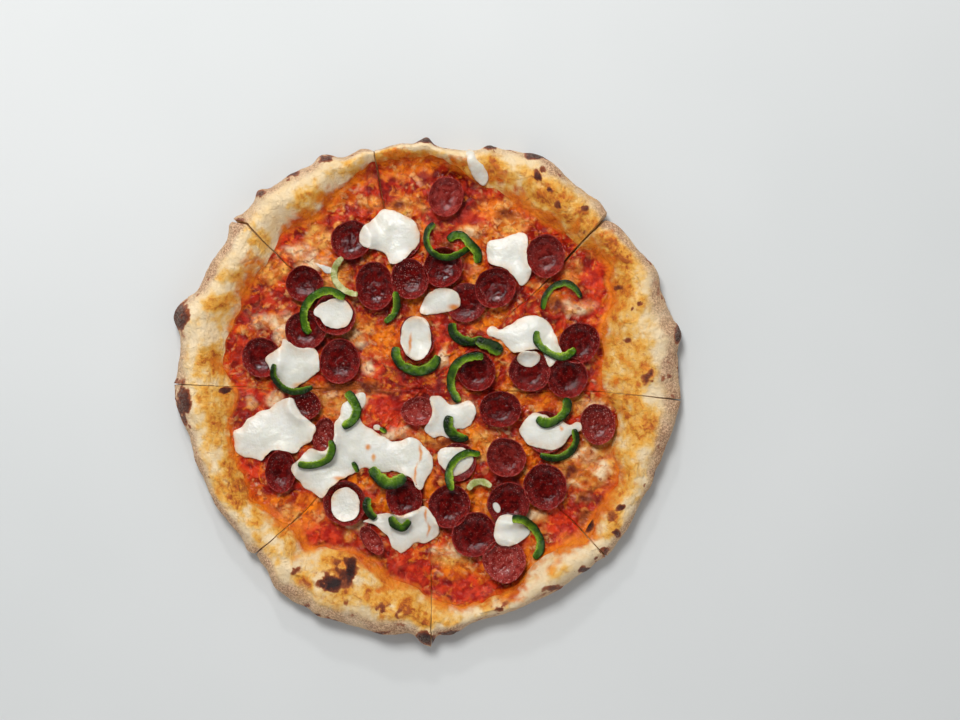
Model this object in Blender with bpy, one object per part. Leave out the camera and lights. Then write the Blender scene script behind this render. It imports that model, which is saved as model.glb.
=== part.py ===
# A whole pepperoni pizza, baked and cut into eight uneven slices that still lie together:
# a puffed crust rim, a thin layer of sauce and melted cheese, curled pepperoni cups,
# rings of green chilli and soft dollops of fresh white cheese.
# Metres, +Z up. The pizza rests on z = 0 with the middle of its outline on the Z axis.

import math

import bmesh
import bpy
import numpy as np
from mathutils import Matrix, Vector, geometry
from mathutils.bvhtree import BVHTree

# Driving dimensions
PIZZA_WIDTH = 0.331
RIM_HEIGHT = 0.0215
BASE_THICKNESS = 0.0045
LAYER_THICKNESS = 0.0020
LAYER_EDGE = 0.0009
PEPPERONI_THICKNESS = 0.0017
PEPPERONI_DEPTH = 0.0052
CHEESE_THICKNESS = 0.0034
CHEESE_EDGE = 0.0012
CHILLI_HEIGHT = 0.0036
CLEARANCE = 0.0004

# Places in plan are read from straight above in plan units, with y running down.
# The pizza is PLAN_WIDTH of them wide.
PLAN_WIDTH = 509.0
PLAN_UNIT = PIZZA_WIDTH / PLAN_WIDTH
PLAN_MIDDLE = (427.0, 393.0)
CUT_CENTRE = (424.0, 389.0)

# Rim section
FOOT_WIDTH = 0.0075
CREST_SHARE = 0.44
WAIST_SHARE = 0.36
TUCK = 0.0065
SLOPE_MIDDLE = 0.5
ROUND_ANGLES = (math.radians(38), math.radians(66), math.radians(90))
BASE_ROWS = (0.36, 0.7, 1.0)
CUT_SLUMP = 0.09
SLUMP_REACH = 0.012

# Cuts between slices, anticlockwise from the east: their course outward from the
# middle, and how wide they gape at the rim. They start CUT_START wide.
CUT_START = 0.0007
CUT_OPENING = 2.4
CUTS = (
    ("east", ((474, 391), (589, 391), (635, 395), (678, 400)), 0.0014),
    ("north_east", ((503, 320), (539, 289), (575, 250), (605, 218)), 0.0036),
    ("north", ((402, 312), (384, 207), (374, 149)), 0.0013),
    ("north_west", ((353, 327), (271, 249), (249, 225), (234, 221.5)), 0.0022),
    ("west", ((303, 389.6), (224, 386), (175, 384)), 0.0010),
    ("south_west", ((365, 448), (303, 513), (253, 556)), 0.0016),
    ("south", ((427, 450), (431, 575), (431.5, 645)), 0.0011),
    ("south_east", ((500, 452), (563, 512), (606, 556)), 0.0012),
)

# Outer edge of each slice from one cut to the next, with its charred corners.
OUTLINES = (
    (
        (679.5, 399), (679, 385), (677.5, 362), (678.5, 348), (681.5, 335), (677, 324),
        (669.5, 310), (661.5, 290), (657, 272), (644.5, 255), (630, 240), (618, 226), (606, 221),
    ),
    (
        (608, 213), (600, 202), (583, 190), (566, 177), (551, 161), (538, 152.5), (520, 151),
        (503, 149), (490, 144.5), (476, 149), (455, 148.5), (436, 146.5), (427, 139),
        (414, 143), (400, 142), (384, 147.5), (375, 149),
    ),
    (
        (373, 149.5), (362, 148.5), (343, 157), (325, 154), (312, 164), (297, 170.5),
        (281, 180.5), (268, 188.5), (258, 191), (253, 203), (243, 213), (235, 218), (230.5, 222.5),
    ),
    (
        (229.5, 225.5), (226.5, 240), (215, 258), (203, 279), (194, 292), (180, 303),
        (172.5, 317), (179, 336), (180, 355), (178, 376), (175, 383),
    ),
    (
        (175.5, 386), (175.5, 402), (181, 421), (190.5, 440), (196, 460), (205, 481),
        (213, 500), (226, 517), (240, 537), (247, 551), (252, 555.5),
    ),
    (
        (254, 556.5), (265, 569), (275, 586), (290, 599), (303, 607.5), (318, 616),
        (336, 620), (358, 627), (379, 634), (400, 632.5), (412, 634), (421, 643), (430.5, 647),
    ),
    (
        (432.5, 644), (438, 636), (452, 634), (470, 624), (487, 619), (508, 614),
        (530, 602), (552, 591), (573, 577.5), (588, 570), (597, 561.5), (605, 557),
    ),
    (
        (607, 555.5), (613, 549.5), (627, 529), (640, 506), (651, 486), (658, 469),
        (665, 448), (673.5, 427), (678, 410), (679.5, 401),
    ),
)

# Where sauce and melted cheese end on the rim's inner slope, clockwise from the north.
SAUCE_EDGE = (
    (376, 162), (400, 159), (430, 157), (455, 166), (468, 176), (490, 187), (505, 195),
    (530, 212), (555, 228), (575, 243), (595, 252), (608, 264), (610, 280), (613, 303),
    (602, 325), (604, 350), (602, 378), (606, 395), (616, 412), (617, 430), (612, 450),
    (618, 470), (616, 486), (604, 500), (592, 522), (580, 538), (560, 546), (540, 560),
    (525, 573), (512, 588), (490, 598), (470, 604), (450, 602), (433, 598), (405, 584),
    (388, 577), (372, 561), (350, 551), (325, 548), (306, 546), (298, 530), (283, 521),
    (268, 512), (252, 500), (246, 487), (240, 472), (235, 458), (231, 440), (229, 424),
    (235, 408), (237, 392), (231, 382), (222, 365), (226, 348), (230, 328), (240, 308),
    (246, 290), (256, 274), (272, 256), (285, 230), (305, 222), (321, 214), (332, 198),
    (346, 186), (360, 172),
)

# Puffs and sags of the rim: place, reach in plan units, and height.
PUFFS = (
    (190, 318, 24, 0.0030), (300, 195, 40, 0.0018), (560, 195, 34, 0.0022),
    (520, 168, 24, 0.0014), (640, 300, 30, 0.0018), (662, 342, 24, 0.0014),
    (650, 450, 28, 0.0010), (560, 572, 34, 0.0014), (470, 612, 24, -0.0026),
    (385, 606, 38, 0.0024), (338, 582, 18, 0.0026), (270, 560, 28, 0.0018),
    (225, 490, 30, 0.0010), (198, 400, 28, 0.0020), (240, 238, 20, 0.0014),
    (430, 150, 30, -0.0012),
)

# Pepperoni: number, place, half width and half length in plan units, turn in degrees,
# depth of the cup as a share of PEPPERONI_DEPTH, and lift in metres.
PEPPERONI = {
    1: (352, 240, 20, 20, 0, 1.0, 0),
    2: (305, 284, 18.5, 18.5, 0, 1.0, 0),
    3: (375, 286, 19.5, 24, 0, 1.1, 0),
    4: (410, 279, 19.5, 19.5, 0, 1.0, 0.0012),
    5: (443, 267, 20, 20, 0, 1.0, 0.0004),
    6: (495, 288, 20.5, 20.5, 0, 1.0, 0.0010),
    7: (545, 256, 19, 22, 20, 1.0, 0),
    8: (306, 330, 20, 20, 0, 0.9, 0),
    9: (335, 315, 20.5, 20.5, 0, 1.0, 0.0012),
    10: (262, 357, 20, 20, 0, 0.9, 0),
    11: (340, 361, 20.5, 22, 0, 1.0, 0),
    12: (446, 197, 18, 20, 0, 0.9, 0),
    13: (466, 303, 20, 20, 0, 0.5, 0),
    15: (417, 338, 16, 23, 12, 1.2, 0),
    16: (476, 371, 20, 20, 0, 1.0, 0),
    17: (529.5, 371, 21.5, 20, 0, 1.0, 0),
    18: (567.5, 377.5, 21, 20, 0, 1.0, 0),
    19: (579, 343, 20.5, 20.5, 0, 1.0, 0.0006),
    20: (500, 409, 21, 19, 0, 1.0, 0),
    21: (597, 424, 17, 21, 0, 1.0, 0),
    22: (506, 457, 20, 20, 0, 1.0, 0),
    23: (545, 486.5, 22.5, 22.5, 0, 1.0, 0),
    24: (508.5, 503, 22, 20.5, 0, 1.0, 0),
    25: (449.5, 505.5, 21, 22, 0, 1.0, 0),
    26: (475, 534.5, 22.5, 22.5, 0, 1.0, 0),
    27: (504, 560, 20.5, 22, -20, 1.0, 0),
    28: (345, 503, 21.5, 23, 0, 1.0, 0),
    29: (404, 497, 18.5, 20, 0, 1.0, 0),
    30: (281, 471, 16, 21, 0, 0.9, 0),
    31: (325, 436, 12, 18, 0, 0.9, 0),
    32: (372, 540, 8.5, 17, 40, 1.0, 0),
    33: (418, 411, 17, 15, 0, 0.9, 0),
    34: (305, 405, 16, 15, 0, 0.9, 0),
}

# Cups that lie against each other are one piece, and so is a cup with cheese in it.
PEPPERONI_GROUPS = (
    (1,), (2,), (3, 4, 5), (6, 13), (7,), (8, 9), (10,), (11,), (12,), (15,), (16,),
    (17, 18, 19), (20,), (21,), (22,), (23, 24), (25, 26, 27), (28,), (29,), (30,),
    (31,), (32,), (33,), (34,),
)
# Cheese held in a cup: place, half width and half length.
CUP_CHEESE = {
    9: (337, 312, 14, 13),
    15: (416, 338, 11, 17),
    28: (345.5, 504.5, 14.5, 17.5),
}

# Green chilli: course along the middle of the strip, and its width, in plan units.
CHILLI = {
    2: (((345, 298), (330, 291), (315, 296), (306, 307), (304, 318), (306, 328), (310, 333)), 8),
    5: (((396, 347), (396, 356), (403, 366), (418, 371), (432, 366), (438, 356)), 9),
    6: (((434, 223), (427, 232), (427, 244), (434, 254), (446, 258), (458, 255), (466, 250), (472, 246)), 6),
    7: (((448, 240), (455, 235), (463, 236), (470, 244), (477, 252), (478, 263)), 8),
    8: (((452, 323), (453, 332), (460, 339), (472, 342), (483, 339)), 9),
    9: (((476, 341), (489, 345), (502, 352)), 11),
    10: (((483, 356), (470, 357), (459, 362), (452, 373), (451, 386), (455, 396), (459, 402)), 8),
    11: (((543, 309), (545, 297), (553, 287), (565, 283), (575, 288), (581, 297)), 6),
    12: (((537, 331), (537, 341), (545, 350), (556, 356), (566, 356), (575, 349)), 7),
    13: (((347, 392), (353, 400), (357, 410), (353, 420), (343, 427)), 9),
    14: (((331, 440), (333, 448), (329, 458), (318, 464), (306, 465), (299, 463)), 7),
    15: (((450, 416), (448, 426), (454, 435), (464, 438), (467, 436)), 9),
    16: (((537, 418), (545, 423), (556, 420), (565, 412), (567, 403), (563, 400)), 9),
    17: (((540, 455), (550, 458), (562, 457), (572, 450), (576, 440), (574, 429)), 7),
    18: (((480, 454), (468, 453), (457, 458), (450, 468), (449, 478), (452, 490)), 7),
    20: (((371, 468), (378, 477), (388, 483), (398, 481), (405, 475)), 11),
    21: (((369, 497), (367, 505), (371, 514), (376, 518)), 8),
    22: (((391, 516), (395, 524), (403, 527), (410, 520)), 8),
    23: (((512, 518), (522, 519), (533, 527), (540, 539), (540, 550), (534, 558)), 8),
}
# Rings of chilli that lie loose on the pizza; two that touch are one piece.
LOOSE_CHILLI = ((2,), (5,), (6, 7), (8, 9), (10,), (11,), (21,))

# Fresh cheese: outline of each dollop, and the chilli that lies on it.
CHEESE = {
    "north": (
        ((384, 210), (373, 221), (365, 225), (358, 240), (365, 248), (380, 250), (390, 266),
         (399, 258), (416, 248), (420, 238), (412, 222), (392, 217)),
        (),
    ),
    "north_east": (
        ((487, 246), (491, 240), (510, 236), (523, 233), (528, 240), (527, 262), (531, 273),
         (522, 286), (515, 278), (506, 269), (489, 264)),
        (),
    ),
    "rim_north": (
        ((466, 153), (471, 150), (478, 163), (486, 169), (488, 182), (481, 185), (471, 173)),
        (),
    ),
    "west": (
        ((283, 338), (280, 347), (266, 357), (269, 368), (281, 385), (290, 389), (306, 380),
         (317, 373), (320, 367), (317, 350), (298, 347), (290, 342)),
        (),
    ),
    "middle_north": (
        ((430, 292), (444, 288), (457, 293), (460, 307), (443, 312), (427, 315), (420, 311),
         (424, 299)),
        (),
    ),
    "east": (
        ((486, 336), (492, 329), (508, 329), (522, 318), (540, 316), (553, 326), (560, 340),
         (563, 352), (550, 366), (540, 353), (520, 351), (510, 350), (497, 345)),
        (12,),
    ),
    "south_west": (
        ((290, 398), (273, 406), (256, 416), (243, 428), (234, 438), (236, 448), (250, 458),
         (262, 461), (277, 451), (298, 450), (310, 440), (315, 426), (308, 418), (297, 405)),
        (),
    ),
    "middle": (
        ((358, 396), (362, 412), (372, 424), (382, 434), (392, 441), (405, 441), (413, 440),
         (427, 453), (431, 465), (421, 489), (415, 486), (411, 478), (390, 474), (362, 470),
         (350, 471), (335, 482), (322, 497), (309, 492), (300, 483), (291, 466), (303, 455),
         (317, 450), (327, 450), (333, 436), (338, 420), (346, 402)),
        (13, 14, 20),
    ),
    "middle_east": (
        ((430, 397), (440, 396), (450, 403), (470, 402), (475, 413), (470, 425), (455, 430),
         (452, 438), (437, 437), (423, 428), (433, 415)),
        (15,),
    ),
    "south_of_middle": (
        ((441, 449), (463, 448), (474, 458), (470, 468), (455, 476), (443, 468), (437, 456)),
        (18,),
    ),
    "south_east": (
        ((521, 428), (524, 420), (531, 414), (540, 411), (560, 421), (576, 422), (582, 428),
         (570, 437), (557, 448), (538, 449), (526, 441)),
        (16, 17),
    ),
    "south": (
        ((362, 522), (380, 516), (396, 514), (412, 512), (424, 508), (437, 520), (440, 532),
         (424, 549), (410, 547), (405, 554), (388, 549), (378, 533)),
        (22,),
    ),
    "south_small": (
        ((495, 525), (500, 516), (512, 515), (522, 524), (530, 532), (518, 543), (500, 545),
         (494, 534)),
        (23,),
    ),
}

# Mesh fineness
CUP_SIDES = 12
MOST_LEAN = 0.45
CHILLI_SIDES = 6
CHILLI_STEP = 0.0050
CHILLI_SUNK = 0.35
CHEESE_STEP = 0.0052
CHEESE_INSET = 0.0024
CHEESE_ROUNDING = 0.0030
SMOOTHING_PASSES = 6
CHILLI_PASSES = 1
CELL = 0.001
STEEPEST = 1.2
BLOB_SIDES = 10
BLOB_RINGS = 5

COLOURS = {
    "baked_crust": ((0.62, 0.36, 0.15, 1), 0.75),
    "sauce_and_cheese": ((0.55, 0.11, 0.02, 1), 0.35),
    "pepperoni": ((0.17, 0.012, 0.010, 1), 0.35),
    "fresh_cheese": ((0.82, 0.80, 0.72, 1), 0.40),
    "green_chilli": ((0.06, 0.16, 0.02, 1), 0.30),
}


def plan_point(place):
    """A place in plan units as metres from the pizza's middle."""
    x = (place[0] - PLAN_MIDDLE[0]) * PLAN_UNIT
    y = (PLAN_MIDDLE[1] - place[1]) * PLAN_UNIT
    return x, y


def plan_points(places):
    return np.array([plan_point(place) for place in places])


CENTRE = np.array(plan_point(CUT_CENTRE))


def polar(points):
    """Radius and angle of points about the place where the cuts meet."""
    offset = points - CENTRE
    return np.hypot(offset[:, 0], offset[:, 1]), np.arctan2(offset[:, 1], offset[:, 0])


def smooth_step(share):
    share = min(max(share, 0.0), 1.0)
    return share * share * (3 - 2 * share)


def material(slot):
    found = bpy.data.materials.get(slot)
    if found is None:
        colour, roughness = COLOURS[slot]
        found = bpy.data.materials.new(slot)
        found.use_nodes = True
        shader = found.node_tree.nodes["Principled BSDF"]
        shader.inputs["Base Color"].default_value = colour
        shader.inputs["Roughness"].default_value = roughness
        found.diffuse_color = colour
    return found


def add_object(name, points, faces, slot, smooth=True):
    """A closed mesh object whose faces point outward."""
    mesh = bpy.data.meshes.new(name)
    mesh.from_pydata([tuple(point) for point in points], [], faces)
    shape = bmesh.new()
    shape.from_mesh(mesh)
    bmesh.ops.recalc_face_normals(shape, faces=shape.faces)
    shape.to_mesh(mesh)
    shape.free()
    mesh.materials.append(material(slot))
    if smooth:
        mesh.shade_smooth()
        mesh.set_sharp_from_angle(angle=math.radians(50))
    obj = bpy.data.objects.new(name, mesh)
    bpy.context.scene.collection.objects.link(obj)
    return obj


def join(base, others):
    """The others joined into base by one Boolean union."""
    if not others:
        return
    group = bpy.data.collections.new("joined")
    bpy.context.scene.collection.children.link(group)
    for other in others:
        group.objects.link(other)
    union = base.modifiers.new("union", "BOOLEAN")
    union.operation = "UNION"
    union.operand_type = "COLLECTION"
    union.collection = group
    union.solver = "EXACT"
    bpy.context.view_layer.update()
    with bpy.context.temp_override(object=base, active_object=base):
        bpy.ops.object.modifier_apply(modifier=union.name)
    for other in others:
        bpy.data.objects.remove(other)
    bpy.data.collections.remove(group)


# Course of the cuts

def cut_course(index):
    """Radii and unwrapped angles along a cut; index 8 is the first cut one turn on."""
    turns, which = divmod(index, len(CUTS))
    radii, angles = polar(plan_points(CUTS[which][1]))
    start = angles[0] % (2 * math.pi)
    if which == 0:
        start = angles[0]
    angles = start + np.unwrap(angles - angles[0]) + 2 * math.pi * turns
    return radii, angles


COURSES = [cut_course(index) for index in range(len(CUTS) + 1)]


def cut_side(index, radius, side):
    """Angle of one side of a cut at a radius: side 1 is anticlockwise, -1 clockwise."""
    radii, angles = COURSES[index]
    opening = CUTS[index % len(CUTS)][2] - CUT_START
    gap = CUT_START + opening * min(radius / radii[-1], 1) ** CUT_OPENING
    return np.interp(radius, radii, angles) + side * math.asin(gap / 2 / radius)


def slice_point(index, share, radius):
    """A plan point of a slice: share runs from 0 at one cut to 1 at the next."""
    first = cut_side(index, radius, 1)
    last = cut_side(index + 1, radius, -1)
    angle = first + share * (last - first)
    return CENTRE + radius * np.array([math.cos(angle), math.sin(angle)]), angle


def slice_tip(index):
    """The point of a slice, set back so that the cuts keep their width."""
    first = np.interp(0, *COURSES[index])
    last = np.interp(0, *COURSES[index + 1])
    middle = (first + last) / 2
    back = CUT_START / 2 / math.sin((last - first) / 2)
    return CENTRE + back * np.array([math.cos(middle), math.sin(middle)])


EDGE_RADII, EDGE_ANGLES = polar(plan_points(SAUCE_EDGE))
EDGE_ORDER = np.argsort(EDGE_ANGLES)


def sauce_radius(angle):
    return np.interp(
        angle % (2 * math.pi),
        EDGE_ANGLES[EDGE_ORDER] % (2 * math.pi),
        EDGE_RADII[EDGE_ORDER],
        period=2 * math.pi,
    )


PUFF_PLACES = plan_points([puff[:2] for puff in PUFFS])


def puff_height(point):
    away = np.hypot(*(PUFF_PLACES - point).T)
    reach = np.array([puff[2] for puff in PUFFS]) * PLAN_UNIT
    height = np.array([puff[3] for puff in PUFFS])
    return float((height * np.exp(-((away / reach) ** 2))).sum())


def crest_height(point, angle, from_cut):
    """Height of the rim's crest, uneven along the rim and lower beside a cut."""
    wave = 1 + 0.05 * math.sin(3 * angle + 1) + 0.03 * math.sin(8 * angle + 2)
    slump = 1 - CUT_SLUMP * math.exp(-((from_cut / SLUMP_REACH) ** 2))
    return RIM_HEIGHT * wave * slump + puff_height(point)


def base_height(point):
    """Top of the flat dough under the sauce."""
    return BASE_THICKNESS + 0.0004 * math.sin(point[0] * 90) * math.cos(point[1] * 70 + 1)


def columns_of(index):
    """Share and outer radius of each column of a slice, one for each outline point."""
    radii, angles = polar(plan_points(OUTLINES[index]))
    columns = []
    for radius, angle in zip(radii, angles):
        first = cut_side(index, radius, 1)
        last = cut_side(index + 1, radius, -1)
        turn = (angle - first + math.pi) % (2 * math.pi) - math.pi
        columns.append(((turn / (last - first)), radius))
    shares = [share for share, _ in columns]
    shares[0] = 0.0
    shares[-1] = 1.0
    return list(zip(shares, radii))


def rim_rows(index, share, rim):
    """Plan point and height of each row of one column, from the base out over the rim."""
    edge = sauce_radius(slice_point(index, share, rim)[1])
    edge = sauce_radius(slice_point(index, share, edge)[1])
    foot = edge - FOOT_WIDTH
    crest = rim - CREST_SHARE * (rim - edge)
    crest_point, angle = slice_point(index, share, crest)
    arc = rim * (cut_side(index + 1, rim, -1) - cut_side(index, rim, 1))
    height = crest_height(crest_point, angle, min(share, 1 - share) * arc)
    waist = WAIST_SHARE * height
    rows = []
    for part in BASE_ROWS:
        point, _ = slice_point(index, share, part * foot)
        rows.append((point, base_height(point)))
    foot_height = rows[-1][1]
    for radius in (edge, edge + SLOPE_MIDDLE * (crest - edge), crest):
        point, _ = slice_point(index, share, radius)
        climb = smooth_step((radius - foot) / (crest - foot))
        rows.append((point, foot_height + climb * (height - foot_height)))
    for turn in ROUND_ANGLES:
        point, _ = slice_point(index, share, crest + (rim - crest) * math.sin(turn))
        rows.append((point, waist + (height - waist) * math.cos(turn)))
    point, _ = slice_point(index, share, rim - 0.3 * TUCK)
    rows.append((point, 0.35 * waist))
    point, _ = slice_point(index, share, rim - TUCK)
    rows.append((point, 0.0))
    return rows


EDGE_ROW = len(BASE_ROWS)
CREST_ROW = EDGE_ROW + 2


def grid_faces(tip, grid, last_row):
    """Triangles of a fan from the tip and of the rows beyond it, up to last_row."""
    faces = []
    for left, right in zip(grid[:-1], grid[1:]):
        faces.append((tip, left[0], right[0]))
        for row in range(last_row):
            faces.append((left[row], left[row + 1], right[row + 1]))
            faces.append((left[row], right[row + 1], right[row]))
    return faces


def add_dough_slice(index, columns):
    """Dough of one slice: flat base, inner slope, crest and round outer side."""
    tip = slice_tip(index)
    points = [(*tip, base_height(tip)), (*tip, 0.0)]
    grid = []
    for rows in columns:
        grid.append(list(range(len(points), len(points) + len(rows))))
        points += [(*place, height) for place, height in rows]
    faces = grid_faces(0, grid, len(columns[0]) - 1)
    under = []
    for rows in (columns[0], columns[-1]):
        under.append(list(range(len(points), len(points) + CREST_ROW + 1)))
        points += [(*place, 0.0) for place, _ in rows[: CREST_ROW + 1]]
    for upper, lower in zip((grid[0], grid[-1]), under):
        faces.append((0, upper[0], lower[0], 1))
        for row in range(CREST_ROW):
            faces.append((upper[row], upper[row + 1], lower[row + 1], lower[row]))
        faces.append((*upper[CREST_ROW:], lower[CREST_ROW]))
    contact = [column[-1] for column in grid]
    faces.append((1, *under[0], *contact, *reversed(under[1])))
    return add_object(f"dough_slice_{index + 1}", points, faces, "baked_crust")


def relief(point):
    """Unevenness of the melted layer."""
    return 0.0003 * math.sin(point[0] * 210 + 2) * math.sin(point[1] * 190)


def add_melted_slice(index, columns):
    """Sauce and melted cheese of one slice, a thin layer that follows the dough."""
    tip = slice_tip(index)
    points = []
    grids = []
    for top in (False, True):
        tip_height = base_height(tip) + CLEARANCE + (LAYER_THICKNESS if top else 0)
        tip_index = len(points)
        points.append((*tip, tip_height))
        grid = []
        for rows in columns:
            grid.append(list(range(len(points), len(points) + EDGE_ROW + 1)))
            for row in range(EDGE_ROW + 1):
                place, height = rows[row]
                height += CLEARANCE
                if top and row < EDGE_ROW:
                    height += LAYER_THICKNESS + relief(place)
                elif top:
                    height += LAYER_EDGE
                points.append((*place, height))
        grids.append((tip_index, grid))
    faces = []
    for tip_index, grid in grids:
        faces += grid_faces(tip_index, grid, EDGE_ROW)
    (low_tip, low), (high_tip, high) = grids
    for side in (0, -1):
        faces.append((low_tip, low[side][0], high[side][0], high_tip))
        for row in range(EDGE_ROW):
            faces.append((low[side][row], low[side][row + 1], high[side][row + 1], high[side][row]))
    for column in range(len(low) - 1):
        faces.append((low[column][-1], low[column + 1][-1], high[column + 1][-1], high[column][-1]))
    return add_object(f"melted_layer_{index + 1}", points, faces, "sauce_and_cheese")


# Heights already taken up by the pizza, on a square grid over the plan

class Heights:
    """The highest surface over each cell of the plan."""

    def __init__(self):
        self.half = PIZZA_WIDTH / 2 + 10 * CELL
        self.count = int(2 * self.half / CELL) + 1
        self.top = np.zeros((self.count, self.count))

    def cells(self, low, high):
        """Index ranges of the cells that cover a box in plan."""
        first = np.floor((np.array(low) + self.half) / CELL).astype(int)
        last = np.ceil((np.array(high) + self.half) / CELL).astype(int) + 1
        first = np.clip(first, 0, self.count - 1)
        last = np.clip(last, 1, self.count)
        return first[0], last[0], first[1], last[1]

    def place(self, column, row):
        return column * CELL - self.half, row * CELL - self.half

    def surface(self, mesh, below=False):
        """Top of a mesh over its cells, or its underside, and the cells' ranges."""
        points = np.array([vertex.co for vertex in mesh.vertices])
        tree = BVHTree.FromPolygons(
            [vertex.co for vertex in mesh.vertices],
            [tuple(face.vertices) for face in mesh.polygons],
        )
        spans = self.cells(points.min(axis=0)[:2], points.max(axis=0)[:2])
        found = np.full((spans[1] - spans[0], spans[3] - spans[2]), np.nan)
        start, direction = (-0.1, 1) if below else (0.2, -1)
        for column in range(spans[0], spans[1]):
            for row in range(spans[2], spans[3]):
                x, y = self.place(column, row)
                hit = tree.ray_cast(Vector((x, y, start)), Vector((0, 0, direction)))[0]
                if hit is not None:
                    found[column - spans[0], row - spans[2]] = hit.z
        return found, spans

    def add(self, mesh):
        found, spans = self.surface(mesh)
        region = self.top[spans[0] : spans[1], spans[2] : spans[3]]
        np.fmax(region, found, out=region)

    def highest(self, point, reach):
        """The highest surface within reach of a plan point."""
        low = np.array(point) - reach
        spans = self.cells(low, low + 2 * reach)
        return self.top[spans[0] : spans[1], spans[2] : spans[3]].max()

    def cover(self, point, reach):
        """Height at a plan point of a leaning plane that just covers what is within reach."""
        low = np.array(point) - reach
        spans = self.cells(low, low + 2 * reach)
        columns, rows = np.mgrid[spans[0] : spans[1], spans[2] : spans[3]]
        x = (columns * CELL - self.half - point[0]).ravel()
        y = (rows * CELL - self.half - point[1]).ravel()
        z = self.top[columns, rows].ravel()
        slope = np.linalg.lstsq(np.stack([x, y, np.ones_like(x)], axis=1), z, rcond=None)[0][:2]
        slope = np.clip(slope, -STEEPEST, STEEPEST)
        return (z - slope[0] * x - slope[1] * y).max()

    def resting_height(self, mesh):
        """How far a mesh has to rise so that it just clears what it lies on."""
        found, spans = self.surface(mesh, below=True)
        rise = -1.0
        for column, row in zip(*np.nonzero(~np.isnan(found))):
            point = self.place(column + spans[0], row + spans[2])
            rise = max(rise, self.highest(point, CELL) - found[column, row])
        return rise + CLEARANCE

    def close_cuts(self):
        """Fills the cuts' cells with their neighbours' height."""
        wide = np.pad(self.top, 2, mode="edge")
        size = self.count
        near = [wide[i : i + size, j : j + size] for i in range(5) for j in range(5)]
        self.top = np.max(near, axis=0)


# Pepperoni

def cup_profile(depth):
    """Rings of a curled slice from the middle of its underside round to its upper side."""
    wall = PEPPERONI_THICKNESS
    return (
        (0.56, 0.06 * depth),
        (0.86, 0.42 * depth),
        (1.0, depth),
        (0.90, depth + 0.35 * wall),
        (0.60, 0.16 * depth + wall),
    )


def lean_of(number, heights):
    """Slope in x and y of the surface that a cup lies on."""
    x, y, half_width, half_length = PEPPERONI[number][:4]
    centre = np.array(plan_point((x, y)))
    radii = PLAN_UNIT * np.array((half_width, half_length))
    spans = heights.cells(centre - radii, centre + radii)
    cells = []
    for column in range(spans[0], spans[1]):
        for row in range(spans[2], spans[3]):
            offset = np.array(heights.place(column, row)) - centre
            if ((offset / radii) ** 2).sum() < 1:
                cells.append((*offset, 1.0, heights.top[column, row]))
    cells = np.array(cells)
    slope = np.linalg.lstsq(cells[:, :3], cells[:, 3], rcond=None)[0][:2]
    return np.clip(slope, -MOST_LEAN, MOST_LEAN)


def pepperoni_mesh(number, lean, rise=0.0):
    """Points and faces of one cup that leans with the surface, raised by rise."""
    x, y, half_width, half_length, turn, curl, _ = PEPPERONI[number]
    centre = np.array(plan_point((x, y)))
    depth = PEPPERONI_DEPTH * curl
    turned = Matrix.Rotation(math.radians(turn), 2)
    points = [(*centre, rise)]
    rings = []
    for share, height in cup_profile(depth):
        rings.append(list(range(len(points), len(points) + CUP_SIDES)))
        for side in range(CUP_SIDES):
            angle = 2 * math.pi * side / CUP_SIDES
            wobble = 1 + 0.03 * math.sin(2 * angle + number) * share
            uneven = 1 + 0.08 * share * math.sin(2 * angle + 1.7 * number)
            offset = turned @ Vector(
                (half_width * math.cos(angle), half_length * math.sin(angle))
            )
            place = centre + share * wobble * PLAN_UNIT * np.array(offset)
            tilt = float(lean @ (place - centre))
            points.append((*place, rise + height * uneven + tilt))
    top = len(points)
    points.append((*centre, rise + PEPPERONI_THICKNESS))
    faces = []
    for side in range(CUP_SIDES):
        after = (side + 1) % CUP_SIDES
        faces.append((0, rings[0][side], rings[0][after]))
        faces.append((top, rings[-1][after], rings[-1][side]))
        for inner, outer in zip(rings[:-1], rings[1:]):
            faces.append((inner[side], outer[side], outer[after], inner[after]))
    return points, faces


def add_blob(centre, radii, low, high, slot):
    """A low dome of cheese held in a cup."""
    points = [(*centre, low)]
    rings = []
    for ring in range(1, BLOB_RINGS):
        tilt = math.pi * ring / BLOB_RINGS
        rings.append(list(range(len(points), len(points) + BLOB_SIDES)))
        for side in range(BLOB_SIDES):
            angle = 2 * math.pi * side / BLOB_SIDES
            x = centre[0] + radii[0] * math.sin(tilt) * math.cos(angle)
            y = centre[1] + radii[1] * math.sin(tilt) * math.sin(angle)
            points.append((x, y, low + (high - low) * (1 - math.cos(tilt)) / 2))
    top = len(points)
    points.append((*centre, high))
    faces = []
    for side in range(BLOB_SIDES):
        after = (side + 1) % BLOB_SIDES
        faces.append((0, rings[0][side], rings[0][after]))
        faces.append((top, rings[-1][after], rings[-1][side]))
        for inner, outer in zip(rings[:-1], rings[1:]):
            faces.append((inner[side], outer[side], outer[after], inner[after]))
    return add_object("blob", points, faces, slot)


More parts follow.
